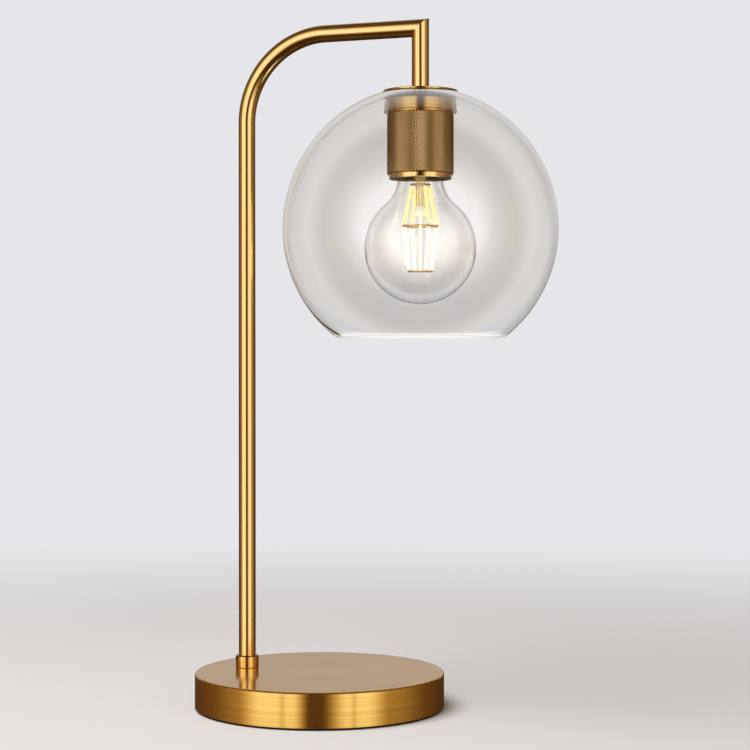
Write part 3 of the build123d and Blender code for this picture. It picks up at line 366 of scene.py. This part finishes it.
low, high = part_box("glass_globe")
globe_radius = high.y
glass_wall, glass_hole, upper_height = 0.0026, 0.0056, 0.0853  # upper_height: widest level to flat top
globe_centre = high.z - upper_height
flat_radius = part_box("shade_plate")[1].y  # the glass is flat under the plate
crown_rise = high.z - globe_centre
crown_radius = ((globe_radius - flat_radius) ** 2 + crown_rise ** 2) / (2 * (globe_radius - flat_radius))
crown_centre = (globe_radius - crown_radius, globe_centre)
crown_end = degrees(asin(crown_rise / crown_radius))
inner_crown_end = degrees(asin((crown_rise - glass_wall) / (crown_radius - glass_wall)))
belly_end, inner_belly_end = (degrees(asin((globe_centre - low.z) / radius))
                              for radius in (globe_radius, globe_radius - glass_wall))
outline = [(glass_hole, high.z), (flat_radius / 2, high.z)]
outline += arc(crown_centre, crown_radius, crown_end, 0, 56)
outline += arc((0, globe_centre), globe_radius, 0, -belly_end, 36)[1:]
outline += arc((0, globe_centre), globe_radius - glass_wall, -inner_belly_end, 0, 36)
outline += arc(crown_centre, crown_radius - glass_wall, 0, inner_crown_end, 56)[1:]
outline += [(flat_radius / 2, high.z - glass_wall), (glass_hole, high.z - glass_wall)]
bm = spin_outline(outline, head_x, 256)
rim = [edge for edge in bm.edges if all(abs(vert.co.z - low.z) < 0.000005 for vert in edge.verts)
       and edge.calc_face_angle(0) > 0.5]
bmesh.ops.bevel(bm, geom=rim, offset=0.42 * glass_wall, segments=5, profile=0.5, affect="EDGES", material=-1)
bmesh.ops.recalc_face_normals(bm, faces=bm.faces[:])
globe = make_piece("glass_globe_blown", bm, blown_glass)
globe.visible_glossy = False  # the brass mirrors the studio through it, without the bent lines of its wall
stand_for(globe, "glass_globe", "lamp")

# ---------------------------------------------------------------- seat between shade and holder
# A moulded silicone cap, half clear, sits between the glass and the lampholder's cap. It centres the glass,
# keeps metal off it, and is clamped with it by the holder's nut.

# Translucent silicone: milky and softly lit through, with a satin skin.
silicone = new_material("translucent_silicone")
milk = add(silicone, "TexNoise", inputs={"Vector": place(silicone), "Scale": 1 / 0.005, "Detail": 2})
rough = add(silicone, "MapRange", inputs={"Value": milk, "To Min": 0.02, "To Max": 0.05})
soft_cap = add(silicone, "BsdfPrincipled", inputs={
    "Base Color": linear("#F8F6F2"), "Roughness": rough, "IOR": 1.41, "Transmission Weight": 0.96})
clear = add(silicone, "BsdfTransparent", inputs={"Color": linear("#F6F4F0")})
ray = add(silicone, "LightPath")
passed = add(silicone, "Math", {"operation": "MAXIMUM"}, {0: ray.outputs["Is Shadow Ray"], 1: 0.5})
either = add(silicone, "MixShader", inputs={0: passed, 1: soft_cap, 2: clear})
dress(finish(silicone, either), "shade_seat")

# ---------------------------------------------------------------- lampholder
# A turned brass cap is clamped to the drop tube's stud by a washer and a nut. The knurled sleeve screws on it
# and holds up the ceramic insert, which carries the pressed screw shell, the contacts and the clamp screws.
dress(turned_brass, "holder_cap")
dress(zinc_plate, "holder_washer", "holder_nut", "clamp_screws")
dress(contact_brass, "socket_shell", "centre_contact", "contact_rivets", "live_terminal", "neutral_terminal")

# Unglazed steatite: a fine cream ceramic, matt, with specks 0.5 mm across.
steatite = new_material("unglazed_steatite")
specks = add(steatite, "TexNoise", inputs={"Vector": place(steatite), "Scale": 1 / 0.0005, "Detail": 3})
colour = add(steatite, "Mix", {"data_type": "RGBA"},
             {"Factor": specks, 6: linear("#DCD8CC"), 7: linear("#F0EDE4")})
relief = add(steatite, "Bump", inputs={"Strength": 0.2, "Distance": 0.00005, "Height": specks})
ceramic = add(steatite, "BsdfPrincipled", inputs={"Base Color": colour.outputs["Result"], "Roughness": 0.6,
                                                  "Normal": relief})
dress(finish(steatite, ceramic), "holder_insert")

# ---------------------------------------------------------------- knurled sleeve
# A brass sleeve, turned, then rolled with a diamond knurl, threaded inside at the top, with a ledge for the
# insert and a polished lip round its mouth. It replaces the plain cylinder of the solids.
low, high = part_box("knurled_sleeve")
sleeve_radius = (high.x - low.x) / 2
sleeve_top = high.z
lip_bottom = low.z
lip_height, lip_radius, lip_bore = 0.0028, 0.0198, 0.01835
lip_top = lip_bottom + lip_height
sleeve_bore, ledge_height, edge_break = 0.0195, 0.0024, 0.0004
ledge = lip_top + ledge_height
knurl_pitch = 0.002  # peak to peak, level and upright: coarser than the real 1.2 mm, so that it shows
knurl_depth = 0.00024
plain_rim = 0.0009  # polished, above the knurl
knurl_columns = 2 * round(2 * pi * sleeve_radius / knurl_pitch)
knurl_bottom = lip_top + edge_break
knurl_top = sleeve_top - edge_break - plain_rim
knurl_rows = 2 * round((knurl_top - knurl_bottom) / knurl_pitch)

row_rise = (knurl_top - knurl_bottom) / knurl_rows
outline = [(sleeve_radius, knurl_bottom + row_rise * row) for row in range(knurl_rows)]
outline += [(sleeve_radius, knurl_top), (sleeve_radius, sleeve_top - edge_break),
            (sleeve_radius - edge_break, sleeve_top), (sleeve_bore, sleeve_top), (sleeve_bore, ledge),
            (lip_bore, ledge), (lip_bore, lip_bottom + edge_break / 2),
            (lip_bore + edge_break / 2, lip_bottom),
            (lip_radius - edge_break, lip_bottom), (lip_radius, lip_bottom + edge_break),
            (lip_radius, lip_top), (sleeve_radius - edge_break, lip_top)]
bm = spin_outline(outline, head_x, knurl_columns)
for vert in bm.verts:
    flat = Vector((vert.co.x - head_x, vert.co.y, 0))
    row = round((vert.co.z - knurl_bottom) / row_rise)
    in_knurl = 0 <= row <= knurl_rows and vert.co.z < knurl_top + row_rise / 4
    if in_knurl and abs(flat.length - sleeve_radius) < 0.00001:
        column = round(atan2(flat.y, flat.x) / (2 * pi) * knurl_columns)
        if (row + column) % 2 or row in (0, knurl_rows):
            vert.co -= flat.normalized() * knurl_depth
bmesh.ops.triangulate(bm, faces=bm.faces[:], quad_method="SHORT_EDGE")

# Knurled brass: rolled, not polished. Its grooves are painted dark brown as shade and its diamond peaks
# painted pale as glints, while the lip below is polished.
knurled_brass = new_material("rolled_knurled_brass")
where = place(knurled_brass)
apart = add(knurled_brass, "SeparateXYZ", inputs={0: where})
haze = add(knurled_brass, "TexNoise", inputs={"Vector": where, "Scale": 1 / 0.002, "Detail": 3})
from_axis = add(knurled_brass, "VectorMath", {"operation": "SUBTRACT"}, {0: where, 1: (head_x, 0, 0)})
flat = add(knurled_brass, "VectorMath", {"operation": "MULTIPLY"}, {0: from_axis, 1: (1, 1, 0)})
out = add(knurled_brass, "VectorMath", {"operation": "LENGTH"}, {0: flat}).outputs["Value"]
peak = add(knurled_brass, "MapRange", inputs={
    "Value": out, "From Min": sleeve_radius - knurl_depth, "From Max": sleeve_radius})
above_lip = add(knurled_brass, "Math", {"operation": "GREATER_THAN"}, {0: apart.outputs["Z"], 1: lip_top})
below_rim = add(knurled_brass, "Math", {"operation": "LESS_THAN"}, {0: apart.outputs["Z"], 1: knurl_top})
on_band = add(knurled_brass, "Math", {"operation": "MULTIPLY"}, {0: above_lip, 1: below_rim})
# Painted shade at the bottom of the grooves, fading to a painted pale glint on the peaks.
painted_groove_shade_and_glint = add(knurled_brass, "Mix", {"data_type": "RGBA"},
             {"Factor": peak, 6: linear("#A07038"), 7: linear("#FFF2CC")})
colour = add(knurled_brass, "Mix", {"data_type": "RGBA"},
             {"Factor": on_band, 6: linear("#ECC988"), 7: painted_groove_shade_and_glint.outputs["Result"]})
knurl_rough = add(knurled_brass, "MapRange", inputs={"Value": haze, "To Min": 0.22, "To Max": 0.28})
rough = add(knurled_brass, "Mix", inputs={"Factor": on_band, "A": 0.1, "B": knurl_rough})
knurl = add(knurled_brass, "BsdfPrincipled", inputs={
    "Base Color": colour.outputs["Result"], "Metallic": 1, "Roughness": rough})
finish(knurled_brass, knurl)
sleeve = make_piece("knurled_sleeve_turned", bm, knurled_brass, 12)
stand_for(sleeve, "knurled_sleeve", "lamp")

# ---------------------------------------------------------------- bulb: cap, insulator, tip
# A nickel plated brass screw cap, pressed with a right-handed thread. A black glass insulator is fused in its
# top, with a drop of solder at its centre for the live contact.

# Nickel plate on pressed brass: warm silver with faint mottling 1.5 mm across.
nickel = new_material("nickel_plated_brass")
mottle = add(nickel, "TexNoise", inputs={"Vector": place(nickel), "Scale": 1 / 0.0015, "Detail": 3})
colour = add(nickel, "Mix", {"data_type": "RGBA"},
             {"Factor": mottle, 6: linear("#BDB6AA"), 7: linear("#D2CCC1")})
rough = add(nickel, "MapRange", inputs={"Value": mottle, "To Min": 0.16, "To Max": 0.3})
plating = add(nickel, "BsdfPrincipled", inputs={
    "Base Color": colour.outputs["Result"], "Metallic": 1, "Roughness": rough})
finish(nickel, plating)
dress(nickel, "bulb_cap", "bulb_leads")

# Black vitrified glass: glossy, with tiny pits 0.8 mm apart.
black_glass = new_material("black_vitrified_glass")
pits = add(black_glass, "TexNoise", inputs={"Vector": place(black_glass), "Scale": 1 / 0.0008, "Detail": 2})
colour = add(black_glass, "Mix", {"data_type": "RGBA"},
             {"Factor": pits, 6: linear("#0E0E12"), 7: linear("#1E1E24")})
relief = add(black_glass, "Bump", inputs={"Strength": 0.3, "Distance": 0.00005, "Height": pits})
insulator = add(black_glass, "BsdfPrincipled", inputs={
    "Base Color": colour.outputs["Result"], "Roughness": 0.18, "IOR": 1.5, "Normal": relief})
dress(finish(black_glass, insulator), "bulb_insulator")

# Tin solder: a dull silver drop, slightly wavy where it set.
solder = new_material("tin_solder")
set_waves = add(solder, "TexNoise", inputs={"Vector": place(solder), "Scale": 1 / 0.001, "Detail": 2})
colour = add(solder, "Mix", {"data_type": "RGBA"},
             {"Factor": set_waves, 6: linear("#A9A9AA"), 7: linear("#C2C2C2")})
relief = add(solder, "Bump", inputs={"Strength": 0.4, "Distance": 0.0001, "Height": set_waves})
drop = add(solder, "BsdfPrincipled", inputs={
    "Base Color": colour.outputs["Result"], "Metallic": 1, "Roughness": 0.34, "Normal": relief})
dress(finish(solder, drop), "bulb_tip")

# ---------------------------------------------------------------- bulb: envelope and stem
# The blown envelope is a thin ball drawn up to a neck, sealed to the flare of the stem, whose tube ends in a
# pinch over the lead wires.

# Thin lamp glass: clear, with slow waves 20 mm across, and a painted warm glow round the lit filaments.
lamp_glass = new_material("thin_lamp_glass")
waves = add(lamp_glass, "TexNoise", inputs={"Vector": place(lamp_glass), "Scale": 1 / 0.02, "Detail": 1})
relief = add(lamp_glass, "Bump", inputs={"Strength": 0.03, "Distance": 0.0003, "Height": waves})
height = add(lamp_glass, "SeparateXYZ", inputs={0: place(lamp_glass)}).outputs["Z"]
bulb_middle = sum(corner.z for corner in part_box("filaments")) / 2
from_middle = add(lamp_glass, "Math", {"operation": "SUBTRACT"}, {0: height, 1: bulb_middle - 0.01})
from_middle = add(lamp_glass, "Math", {"operation": "ABSOLUTE"}, {0: from_middle})
# A painted glow: emission on the glass, strongest at the filaments' height and fading within 35 mm.
painted_bloom_glow = add(lamp_glass, "MapRange", {"interpolation_type": "SMOOTHSTEP"},
               {"Value": from_middle, "From Max": 0.035, "To Min": 0.035, "To Max": 0})
bulb_wall = add(lamp_glass, "BsdfPrincipled", inputs={
    "Base Color": linear("#FFFFFF"), "Roughness": 0, "IOR": 1.46, "Transmission Weight": 1, "Normal": relief,
    "Emission Color": linear("#FFF1D8"), "Emission Strength": painted_bloom_glow})
clear = add(lamp_glass, "BsdfTransparent", inputs={"Color": linear("#FAFAF8")})
ray = add(lamp_glass, "LightPath")
either = add(lamp_glass, "MixShader", inputs={0: ray.outputs["Is Shadow Ray"], 1: bulb_wall, 2: clear})
finish(lamp_glass, either)

low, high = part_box("bulb_envelope")
ball_radius, neck_radius, shoulder_radius, envelope_wall = high.y, 0.0143, 0.022, 0.0009
ball_centre = low.z + ball_radius
shoulder_rise = sqrt((ball_radius + shoulder_radius) ** 2 - (neck_radius + shoulder_radius) ** 2)
shoulder_centre = (neck_radius + shoulder_radius, ball_centre + shoulder_rise)
join = degrees(atan2(shoulder_rise, shoulder_centre[0]))
outline = arc((0, ball_centre), ball_radius, -90, join, 64)
outline += arc(shoulder_centre, shoulder_radius, 180 + join, 180, 20)[1:]
outline += [(neck_radius, high.z), (neck_radius - envelope_wall, high.z)]
outline += arc(shoulder_centre, shoulder_radius + envelope_wall, 180, 180 + join, 20)
outline += arc((0, ball_centre), ball_radius - envelope_wall, join, -90, 64)[1:]
stand_for(make_piece("bulb_envelope_blown", spin_outline(outline, head_x, 192), lamp_glass),
          "bulb_envelope", "bulb")

# Drawn stem glass: clear, with a painted warm glow down its tube and rod for the filaments' light it carries.
bulb_low = low.z
ring_levels = [bulb_low + 0.075, bulb_low + 0.049, bulb_low + 0.0204]
stem_glass = new_material("drawn_stem_glass")
where = place(stem_glass)
draw_lines = add(stem_glass, "TexNoise", inputs={"Vector": where, "Scale": 1 / 0.004, "Detail": 1})
relief = add(stem_glass, "Bump", inputs={"Strength": 0.1, "Distance": 0.0001, "Height": draw_lines})
height = add(stem_glass, "SeparateXYZ", inputs={0: where}).outputs["Z"]
# A painted glow: emission on the stem glass, brighter below the middle ring.
painted_stem_glow = add(stem_glass, "MapRange", {"interpolation_type": "SMOOTHSTEP"}, {
    "Value": height, "From Min": ring_levels[1] + 0.014, "From Max": ring_levels[1] - 0.006, "To Min": 0.06,
    "To Max": 0.6})
stem_wall = add(stem_glass, "BsdfPrincipled", inputs={
    "Base Color": linear("#FFFBEE"), "Roughness": 0.02, "IOR": 1.46, "Transmission Weight": 1,
    "Normal": relief, "Emission Color": linear("#FFE58C"), "Emission Strength": painted_stem_glow})
clear = add(stem_glass, "BsdfTransparent", inputs={"Color": linear("#FAFAF8")})
ray = add(stem_glass, "LightPath")
either = add(stem_glass, "MixShader", inputs={0: ray.outputs["Is Shadow Ray"], 1: stem_wall, 2: clear})
dress(finish(stem_glass, either), "bulb_stem")

# ---------------------------------------------------------------- bulb: filaments
# Eight LED sticks in two tiers, each a glass strip of chips in yellow phosphor silicone with a metal tab at
# both ends, welded to the support rings. The lower tier is seen white hot, and the upper one yellow.
ring_radii = [0.0062, 0.0114, 0.0076]
stick_radius, chip_radius = 0.0011, 0.00055
stick_end = 0.0011  # ring to stick
first_angle, sticks_in_tier = -44, 4
tab_width, tab_thickness, tab_overlap = 0.0009, 0.00025, 0.0002

sticks, chips, tabs = bmesh.new(), bmesh.new(), bmesh.new()
for tier in (0, 1):
    for i in range(sticks_in_tier):
        angle = radians(first_angle + 360 / sticks_in_tier * i)
        outward = Vector((cos(angle), sin(angle), 0))
        upper, lower = (Vector((head_x, 0, ring_levels[ring])) + outward * ring_radii[ring]
                        for ring in (tier, tier + 1))
        along = upper - lower
        stand = Matrix.Translation((upper + lower) / 2) @ along.to_track_quat("Z", "X").to_matrix().to_4x4()
        length = along.length - 2 * stick_end
        made = bmesh.ops.create_cone(sticks, cap_ends=True, segments=24, radius1=stick_radius,
                                     radius2=stick_radius, depth=length, matrix=stand)
        rims = {edge for vert in made["verts"] for edge in vert.link_edges
                if any(len(face.verts) > 4 for face in edge.link_faces)}
        bmesh.ops.bevel(sticks, geom=list(rims), offset=stick_radius * 0.6, segments=3, profile=0.5,
                        affect="EDGES", material=-1)
        bmesh.ops.create_cone(chips, cap_ends=True, segments=12, radius1=chip_radius, radius2=chip_radius,
                              depth=length - 2 * stick_radius, matrix=stand)
        for side in (-1, 1):
            end = Matrix.Translation((0, 0, side * (length / 2 + stick_end / 2 - tab_overlap)))
            size = Matrix.Diagonal((tab_width, tab_thickness, stick_end, 1))
            bmesh.ops.create_cube(tabs, size=1, matrix=stand @ end @ size)
for bm in (sticks, chips, tabs):
    bmesh.ops.recalc_face_normals(bm, faces=bm.faces[:])


def by_tier(material, lower, upper):
    """A value that changes at the middle ring, from the lower tier to the upper one."""
    height = add(material, "SeparateXYZ", inputs={0: place(material)}).outputs["Z"]
    above = add(material, "Math", {"operation": "GREATER_THAN"}, {0: height, 1: ring_levels[1]})
    if isinstance(lower, str):
        return add(material, "Mix", {"data_type": "RGBA"},
                   {"Factor": above, 6: linear(lower), 7: linear(upper)}).outputs["Result"]
    return add(material, "MapRange", inputs={"Value": above, "To Min": lower, "To Max": upper})


# Lit phosphor silicone: a yellow jelly round the chips, paler in the lower tier, which shines brighter.
phosphor = new_material("lit_phosphor_silicone")
jelly = add(phosphor, "BsdfPrincipled", inputs={
    "Base Color": linear("#FFF4CC"), "Roughness": 0.15, "IOR": 1.41, "Transmission Weight": 0.9,
    "Emission Color": by_tier(phosphor, "#FFE79A", "#FFDC7C"),
    "Emission Strength": by_tier(phosphor, 0.45, 0.25)})
jacket = make_piece("filament_sticks", sticks, finish(phosphor, jelly), 40)
stand_for(jacket, "filaments", "bulb")

# Lit chips: a row of them 1.6 mm apart, white hot in the lower tier and yellow in the upper one.
lit_chips = new_material("lit_led_chips")
height = add(lit_chips, "SeparateXYZ", inputs={0: place(lit_chips)}).outputs["Z"]
level = add(lit_chips, "CombineXYZ", inputs={"Z": height})
row = add(lit_chips, "TexWave", {"bands_direction": "Z"}, {"Vector": level, "Scale": 0.314 / 0.0016})
pulse = add(lit_chips, "MapRange", inputs={"Value": row, "To Min": 0.45, "To Max": 1})
power = add(lit_chips, "Math", {"operation": "MULTIPLY"}, {0: pulse, 1: by_tier(lit_chips, 6, 1.1)})
glow = add(lit_chips, "BsdfPrincipled", inputs={
    "Base Color": linear("#F7E6B0"), "Roughness": 0.5,
    "Emission Color": by_tier(lit_chips, "#FFF4D6", "#FFEAA8"), "Emission Strength": power})
strip = make_piece("filament_chips", chips, finish(lit_chips, glow), 40)
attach(strip, "bulb")

# Heat-tinted nickel wire: bronze brown in the lamp's own light, mottled every 1 mm.
tinted_wire = new_material("heat_tinted_nickel_wire")
mottle = add(tinted_wire, "TexNoise", inputs={"Vector": place(tinted_wire), "Scale": 1 / 0.001, "Detail": 2})
colour = add(tinted_wire, "Mix", {"data_type": "RGBA"},
             {"Factor": mottle, 6: linear("#A87832"), 7: linear("#DDB262")})
wire = add(tinted_wire, "BsdfPrincipled", inputs={
    "Base Color": colour.outputs["Result"], "Metallic": 1, "Roughness": 0.3})
dress(finish(tinted_wire, wire), "filament_frame")
ends = make_piece("filament_tabs", tabs, tinted_wire, 40)
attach(ends, "bulb")

# ---------------------------------------------------------------- bulb: driver
# A round laminate board across the bulb's cap carries one capacitor and one rectifier, which feed the
# filaments. The stem's leads come down to it.

# Solder-masked laminate: cream white with a faint glass weave 0.4 mm apart.
laminate = new_material("solder_masked_laminate")
weave = add(laminate, "TexWave", inputs={"Vector": place(laminate), "Scale": 0.314 / 0.0008, "Distortion": 1})
colour = add(laminate, "Mix", {"data_type": "RGBA"},
             {"Factor": weave, 6: linear("#DAD9CC"), 7: linear("#EAE9DE")})
board = add(laminate, "BsdfPrincipled", inputs={"Base Color": colour.outputs["Result"], "Roughness": 0.35})
dress(finish(laminate, board), "driver_board")

# Moulded and sleeved parts: satin black plastic, faintly mottled.
moulding = new_material("moulded_component_plastic")
mottle = add(moulding, "TexNoise", inputs={"Vector": place(moulding), "Scale": 1 / 0.0006, "Detail": 2})
colour = add(moulding, "Mix", {"data_type": "RGBA"},
             {"Factor": mottle, 6: linear("#1B1B1E"), 7: linear("#2E2E32")})
parts = add(moulding, "BsdfPrincipled", inputs={"Base Color": colour.outputs["Result"], "Roughness": 0.45})
dress(finish(moulding, parts), "driver_parts")

# ---------------------------------------------------------------- wires
# Two single wires in extruded plastic insulation, brown and blue, run whole from the holder's clamps through
# the arm and the stem to the terminal block, and a screw clamps each at both ends.

# Extruded wire insulation: glossy, with faint draw marks 0.5 mm apart.
for name, node, dark, light in (("brown_wire_insulation", "live_wire", "#43230F", "#5A3117"),
                                ("blue_wire_insulation", "neutral_wire", "#17478F", "#2259A8")):
    insulation = new_material(name)
    marks = add(insulation, "TexNoise",
                inputs={"Vector": place(insulation), "Scale": 1 / 0.0005, "Detail": 2})
    colour = add(insulation, "Mix", {"data_type": "RGBA"},
                 {"Factor": marks, 6: linear(dark), 7: linear(light)})
    wire = add(insulation, "BsdfPrincipled",
               inputs={"Base Color": colour.outputs["Result"], "Roughness": 0.32})
    dress(finish(insulation, wire), node)

# ---------------------------------------------------------------- floor
# A pale sheet that runs on to the background: it takes the lamp's shadow near by, and further out it has the
# background's own brightness, so no horizon shows.
backdrop = linear("#E6E6EA")
bm = bmesh.new()
bmesh.ops.create_circle(bm, cap_ends=True, segments=96, radius=6)
floor_mesh = bpy.data.meshes.new("studio_floor")
bm.to_mesh(floor_mesh)
bm.free()
floor = bpy.data.objects.new("studio_floor", floor_mesh)
bpy.context.collection.objects.link(floor)
paper = new_material("pale_studio_paper")
where = place(paper)
distance = add(paper, "VectorMath", {"operation": "LENGTH"}, {0: where}).outputs["Value"]
far = add(paper, "MapRange", {"interpolation_type": "SMOOTHSTEP"},
          {"Value": distance, "From Min": 0.22, "From Max": 1.1})
tooth = add(paper, "TexNoise", inputs={"Vector": where, "Scale": 1 / 0.004, "Detail": 3})
colour = add(paper, "Mix", {"data_type": "RGBA"},
             {"Factor": tooth, 6: linear("#DDDDE0"), 7: linear("#E2E2E5")})
sheet = add(paper, "BsdfDiffuse", inputs={"Color": colour.outputs["Result"]})
glow = add(paper, "Emission", inputs={"Color": backdrop, "Strength": 1})
floor_mesh.materials.append(finish(paper, add(paper, "MixShader", inputs={0: far, 1: sheet, 2: glow})))
floor.visible_glossy = False

# ---------------------------------------------------------------- camera
# A long lens a little over a metre away, level with the middle of the lamp. Its place and its turn were
# fitted to the photograph.
camera_azimuth = radians(21.782)
camera_distance, camera_height = 1.230, 0.22726
tilt_down, turn_aside = radians(0.641), radians(1.658)
lens_pixels, frame_pixels = 1914.38, 750  # focal length and frame width in the photograph's pixels
camera_data = bpy.data.cameras.new("camera")
camera_data.sensor_width = 36
camera_data.lens = lens_pixels / frame_pixels * camera_data.sensor_width
camera_data.clip_start = 0.05
camera = bpy.data.objects.new("camera", camera_data)
bpy.context.collection.objects.link(camera)
camera.location = (camera_distance * sin(camera_azimuth), -camera_distance * cos(camera_azimuth),
                   camera_height)
camera.rotation_euler = (radians(90) - tilt_down, 0, camera_azimuth - turn_aside)
scene = bpy.context.scene
scene.camera = camera
scene.view_settings.view_transform = "Standard"

# ---------------------------------------------------------------- studio light
# Two tall soft boxes stand left and right of the camera with a dark gap between them, the room is dim, and
# the backdrop is pale. They are drawn in the world by direction: metal mirrors them, while straight views and
# views through glass see the backdrop, which is a little brighter behind the bulb and dimmer round it.
world = bpy.data.worlds.new("soft_box_studio")
scene.world = world
world.use_nodes = True
world.node_tree.nodes.clear()
toward = add(world, "TexCoord").outputs["Generated"]
front, right = (add(world, "VectorMath", {"operation": "DOT_PRODUCT"}, {0: toward, 1: way}).outputs["Value"]
                for way in ((sin(camera_azimuth), -cos(camera_azimuth), 0),
                            (cos(camera_azimuth), sin(camera_azimuth), 0)))
aside = add(world, "Math", {"operation": "ARCTAN2"}, {0: right, 1: front})
rise = add(world, "SeparateXYZ", inputs={0: toward}).outputs["Z"]
rise = add(world, "Math", {"operation": "ARCSINE"}, {0: rise})


def edge(value, start, end, low=0, high=1):
    """A soft edge between two angles in degrees, from one level to another."""
    return add(world, "MapRange", {"interpolation_type": "SMOOTHSTEP"}, {
        "Value": value, "From Min": radians(start), "From Max": radians(end), "To Min": low, "To Max": high})


def times(a, b):
    """The product of two values in the world's nodes."""
    return add(world, "Math", {"operation": "MULTIPLY"}, {0: a, 1: b})


def plus(a, b):
    """The sum of two values in the world's nodes."""
    return add(world, "Math", {"operation": "ADD"}, {0: a, 1: b})


# Levels by the angle aside of the camera and above level. Each box fades out slowly at its far side, and its
# rim is amber. A cool pale wall stands behind the lamp, and the room is warm.
box_strength, wall_strength, room_level, side_level = 1.42, 0.48, 0.05, 0.07
left_box = times(edge(aside, -25, -9, 1, 0),
                 plus(edge(aside, -80, -54, 0, 0.7), edge(aside, -118, -62, 0, 0.3)))
right_box = times(edge(aside, 1, 27), plus(edge(aside, 42, 68, 0.7, 0), edge(aside, 58, 118, 0.3, 0)))
boxes = times(plus(left_box, right_box), times(edge(rise, -38, -4), edge(rise, 14, 60, 1, 0)))
seam_width, seam_level = 4, 0.7
for seam in (-34, 31):  # where each box's two halves meet
    gap = times(edge(aside, seam - seam_width, seam), edge(aside, seam, seam + seam_width, 1, 0))
    boxes = times(boxes, add(world, "MapRange", inputs={"Value": gap, "To Min": 1, "To Max": seam_level}))
heart = add(world, "MapRange", inputs={"Value": boxes, "From Min": 0.3, "From Max": 0.95})
box_colour = add(world, "Mix", {"data_type": "RGBA"},
                 {"Factor": heart, 6: linear("#FFE1A2"), 7: linear("#FFFFFF")})
soft_boxes = add(world, "Background",
                 inputs={"Color": box_colour.outputs["Result"], "Strength": times(boxes, box_strength)})
far_side = add(world, "Math", {"operation": "ABSOLUTE"}, {0: aside})
at_back = edge(far_side, 130, 165)
behind = times(at_back, times(edge(rise, -4, 7), edge(rise, 30, 75, 1, 0)))
far_wall = add(world, "Background",
               inputs={"Color": linear("#FDFEFF"), "Strength": times(behind, wall_strength)})
sides = times(edge(far_side, 55, 80), edge(far_side, 110, 150, 1, 0))
dim = plus(room_level, times(sides, side_level))
room = add(world, "Background", inputs={"Color": linear("#FFC78E"), "Strength": dim})
bright = add(world, "AddShader", inputs={0: soft_boxes, 1: far_wall})
studio = add(world, "AddShader", inputs={0: bright, 1: room})

# The backdrop as glass shows it, by the angle off the line from the camera to the globe's centre.
ray = add(world, "LightPath")
toward_globe = (Vector((head_x, 0, globe_centre)) - camera.location).normalized()
off_globe = add(world, "VectorMath", {"operation": "DOT_PRODUCT"}, {0: toward, 1: toward_globe})
off_globe = add(world, "Math", {"operation": "ARCCOSINE"}, {0: off_globe.outputs["Value"]})
ring_level, middle_lift, outer_lift = 0.82, 0.28, 0.3
lifts = plus(edge(off_globe, 1.9, 3.5, middle_lift, 0), edge(off_globe, 4.2, 6.5, 0, outer_lift))
lit_patch = plus(ring_level, lifts)
level = add(world, "Mix", inputs={"Factor": ray.outputs["Is Camera Ray"], "A": lit_patch, "B": 1})
tone = add(world, "Mix", {"data_type": "RGBA"},
           {"Factor": ray.outputs["Is Camera Ray"], 6: linear("#E6E3E2"), 7: backdrop})
plain = add(world, "Background", inputs={"Color": tone.outputs["Result"], "Strength": level})

# The plain backdrop is for the camera's own rays and for those that pass glass without a bounce or cross one
# wall. Rays that bounce inside a rim see most of it, and so do those turned back inside the globe's wall,
# which have crossed an odd number of faces and go on past the lamp.
rim_share = 0.8
bounced = plus(ray.outputs["Glossy Depth"], ray.outputs["Diffuse Depth"])
unbounced = add(world, "Math", {"operation": "LESS_THAN"}, {0: bounced, 1: 0.5})
one_wall = add(world, "Math", {"operation": "LESS_THAN"}, {0: ray.outputs["Transmission Depth"], 1: 3.5})
through = add(world, "Math", {"operation": "MAXIMUM"}, {0: unbounced, 1: one_wall})
through = times(through, ray.outputs["Is Transmission Ray"])
in_rim = add(world, "Math", {"operation": "GREATER_THAN"}, {0: bounced, 1: 1.5})
in_rim = times(times(in_rim, ray.outputs["Is Transmission Ray"]), rim_share)
through = add(world, "Math", {"operation": "MAXIMUM"}, {0: through, 1: in_rim})
odd_walls = add(world, "Math", {"operation": "MODULO"}, {0: ray.outputs["Transmission Depth"], 1: 2})
onward = times(edge(off_globe, 34, 42), edge(off_globe, 74, 90, 1, 0))
in_wall = times(times(ray.outputs["Is Glossy Ray"], odd_walls), onward)
through = add(world, "Math", {"operation": "MAXIMUM"}, {0: through, 1: times(in_wall, rim_share)})
straight = add(world, "Math", {"operation": "MAXIMUM"}, {0: ray.outputs["Is Camera Ray"], 1: through})
seen = add(world, "MixShader", inputs={0: straight, 1: studio, 2: plain})
add(world, "OutputWorld", inputs={"Surface": seen})

# A wide overhead panel fills the floor and the dull parts. Metal and glass don't mirror it.
panel = bpy.data.lights.new("overhead_panel", "AREA")
panel.shape = "DISK"
panel.size = 1.4
panel.energy = 30
panel_object = bpy.data.objects.new("overhead_panel", panel)
bpy.context.collection.objects.link(panel_object)
panel_object.location = (-0.35, -0.6, 1.7)
toward_lamp = Vector((0, 0, 0.15)) - panel_object.location
panel_object.rotation_euler = toward_lamp.to_track_quat("-Z", "Y").to_euler()
panel_object.visible_glossy = False
panel_object.visible_camera = False
panel_object.visible_transmission = False
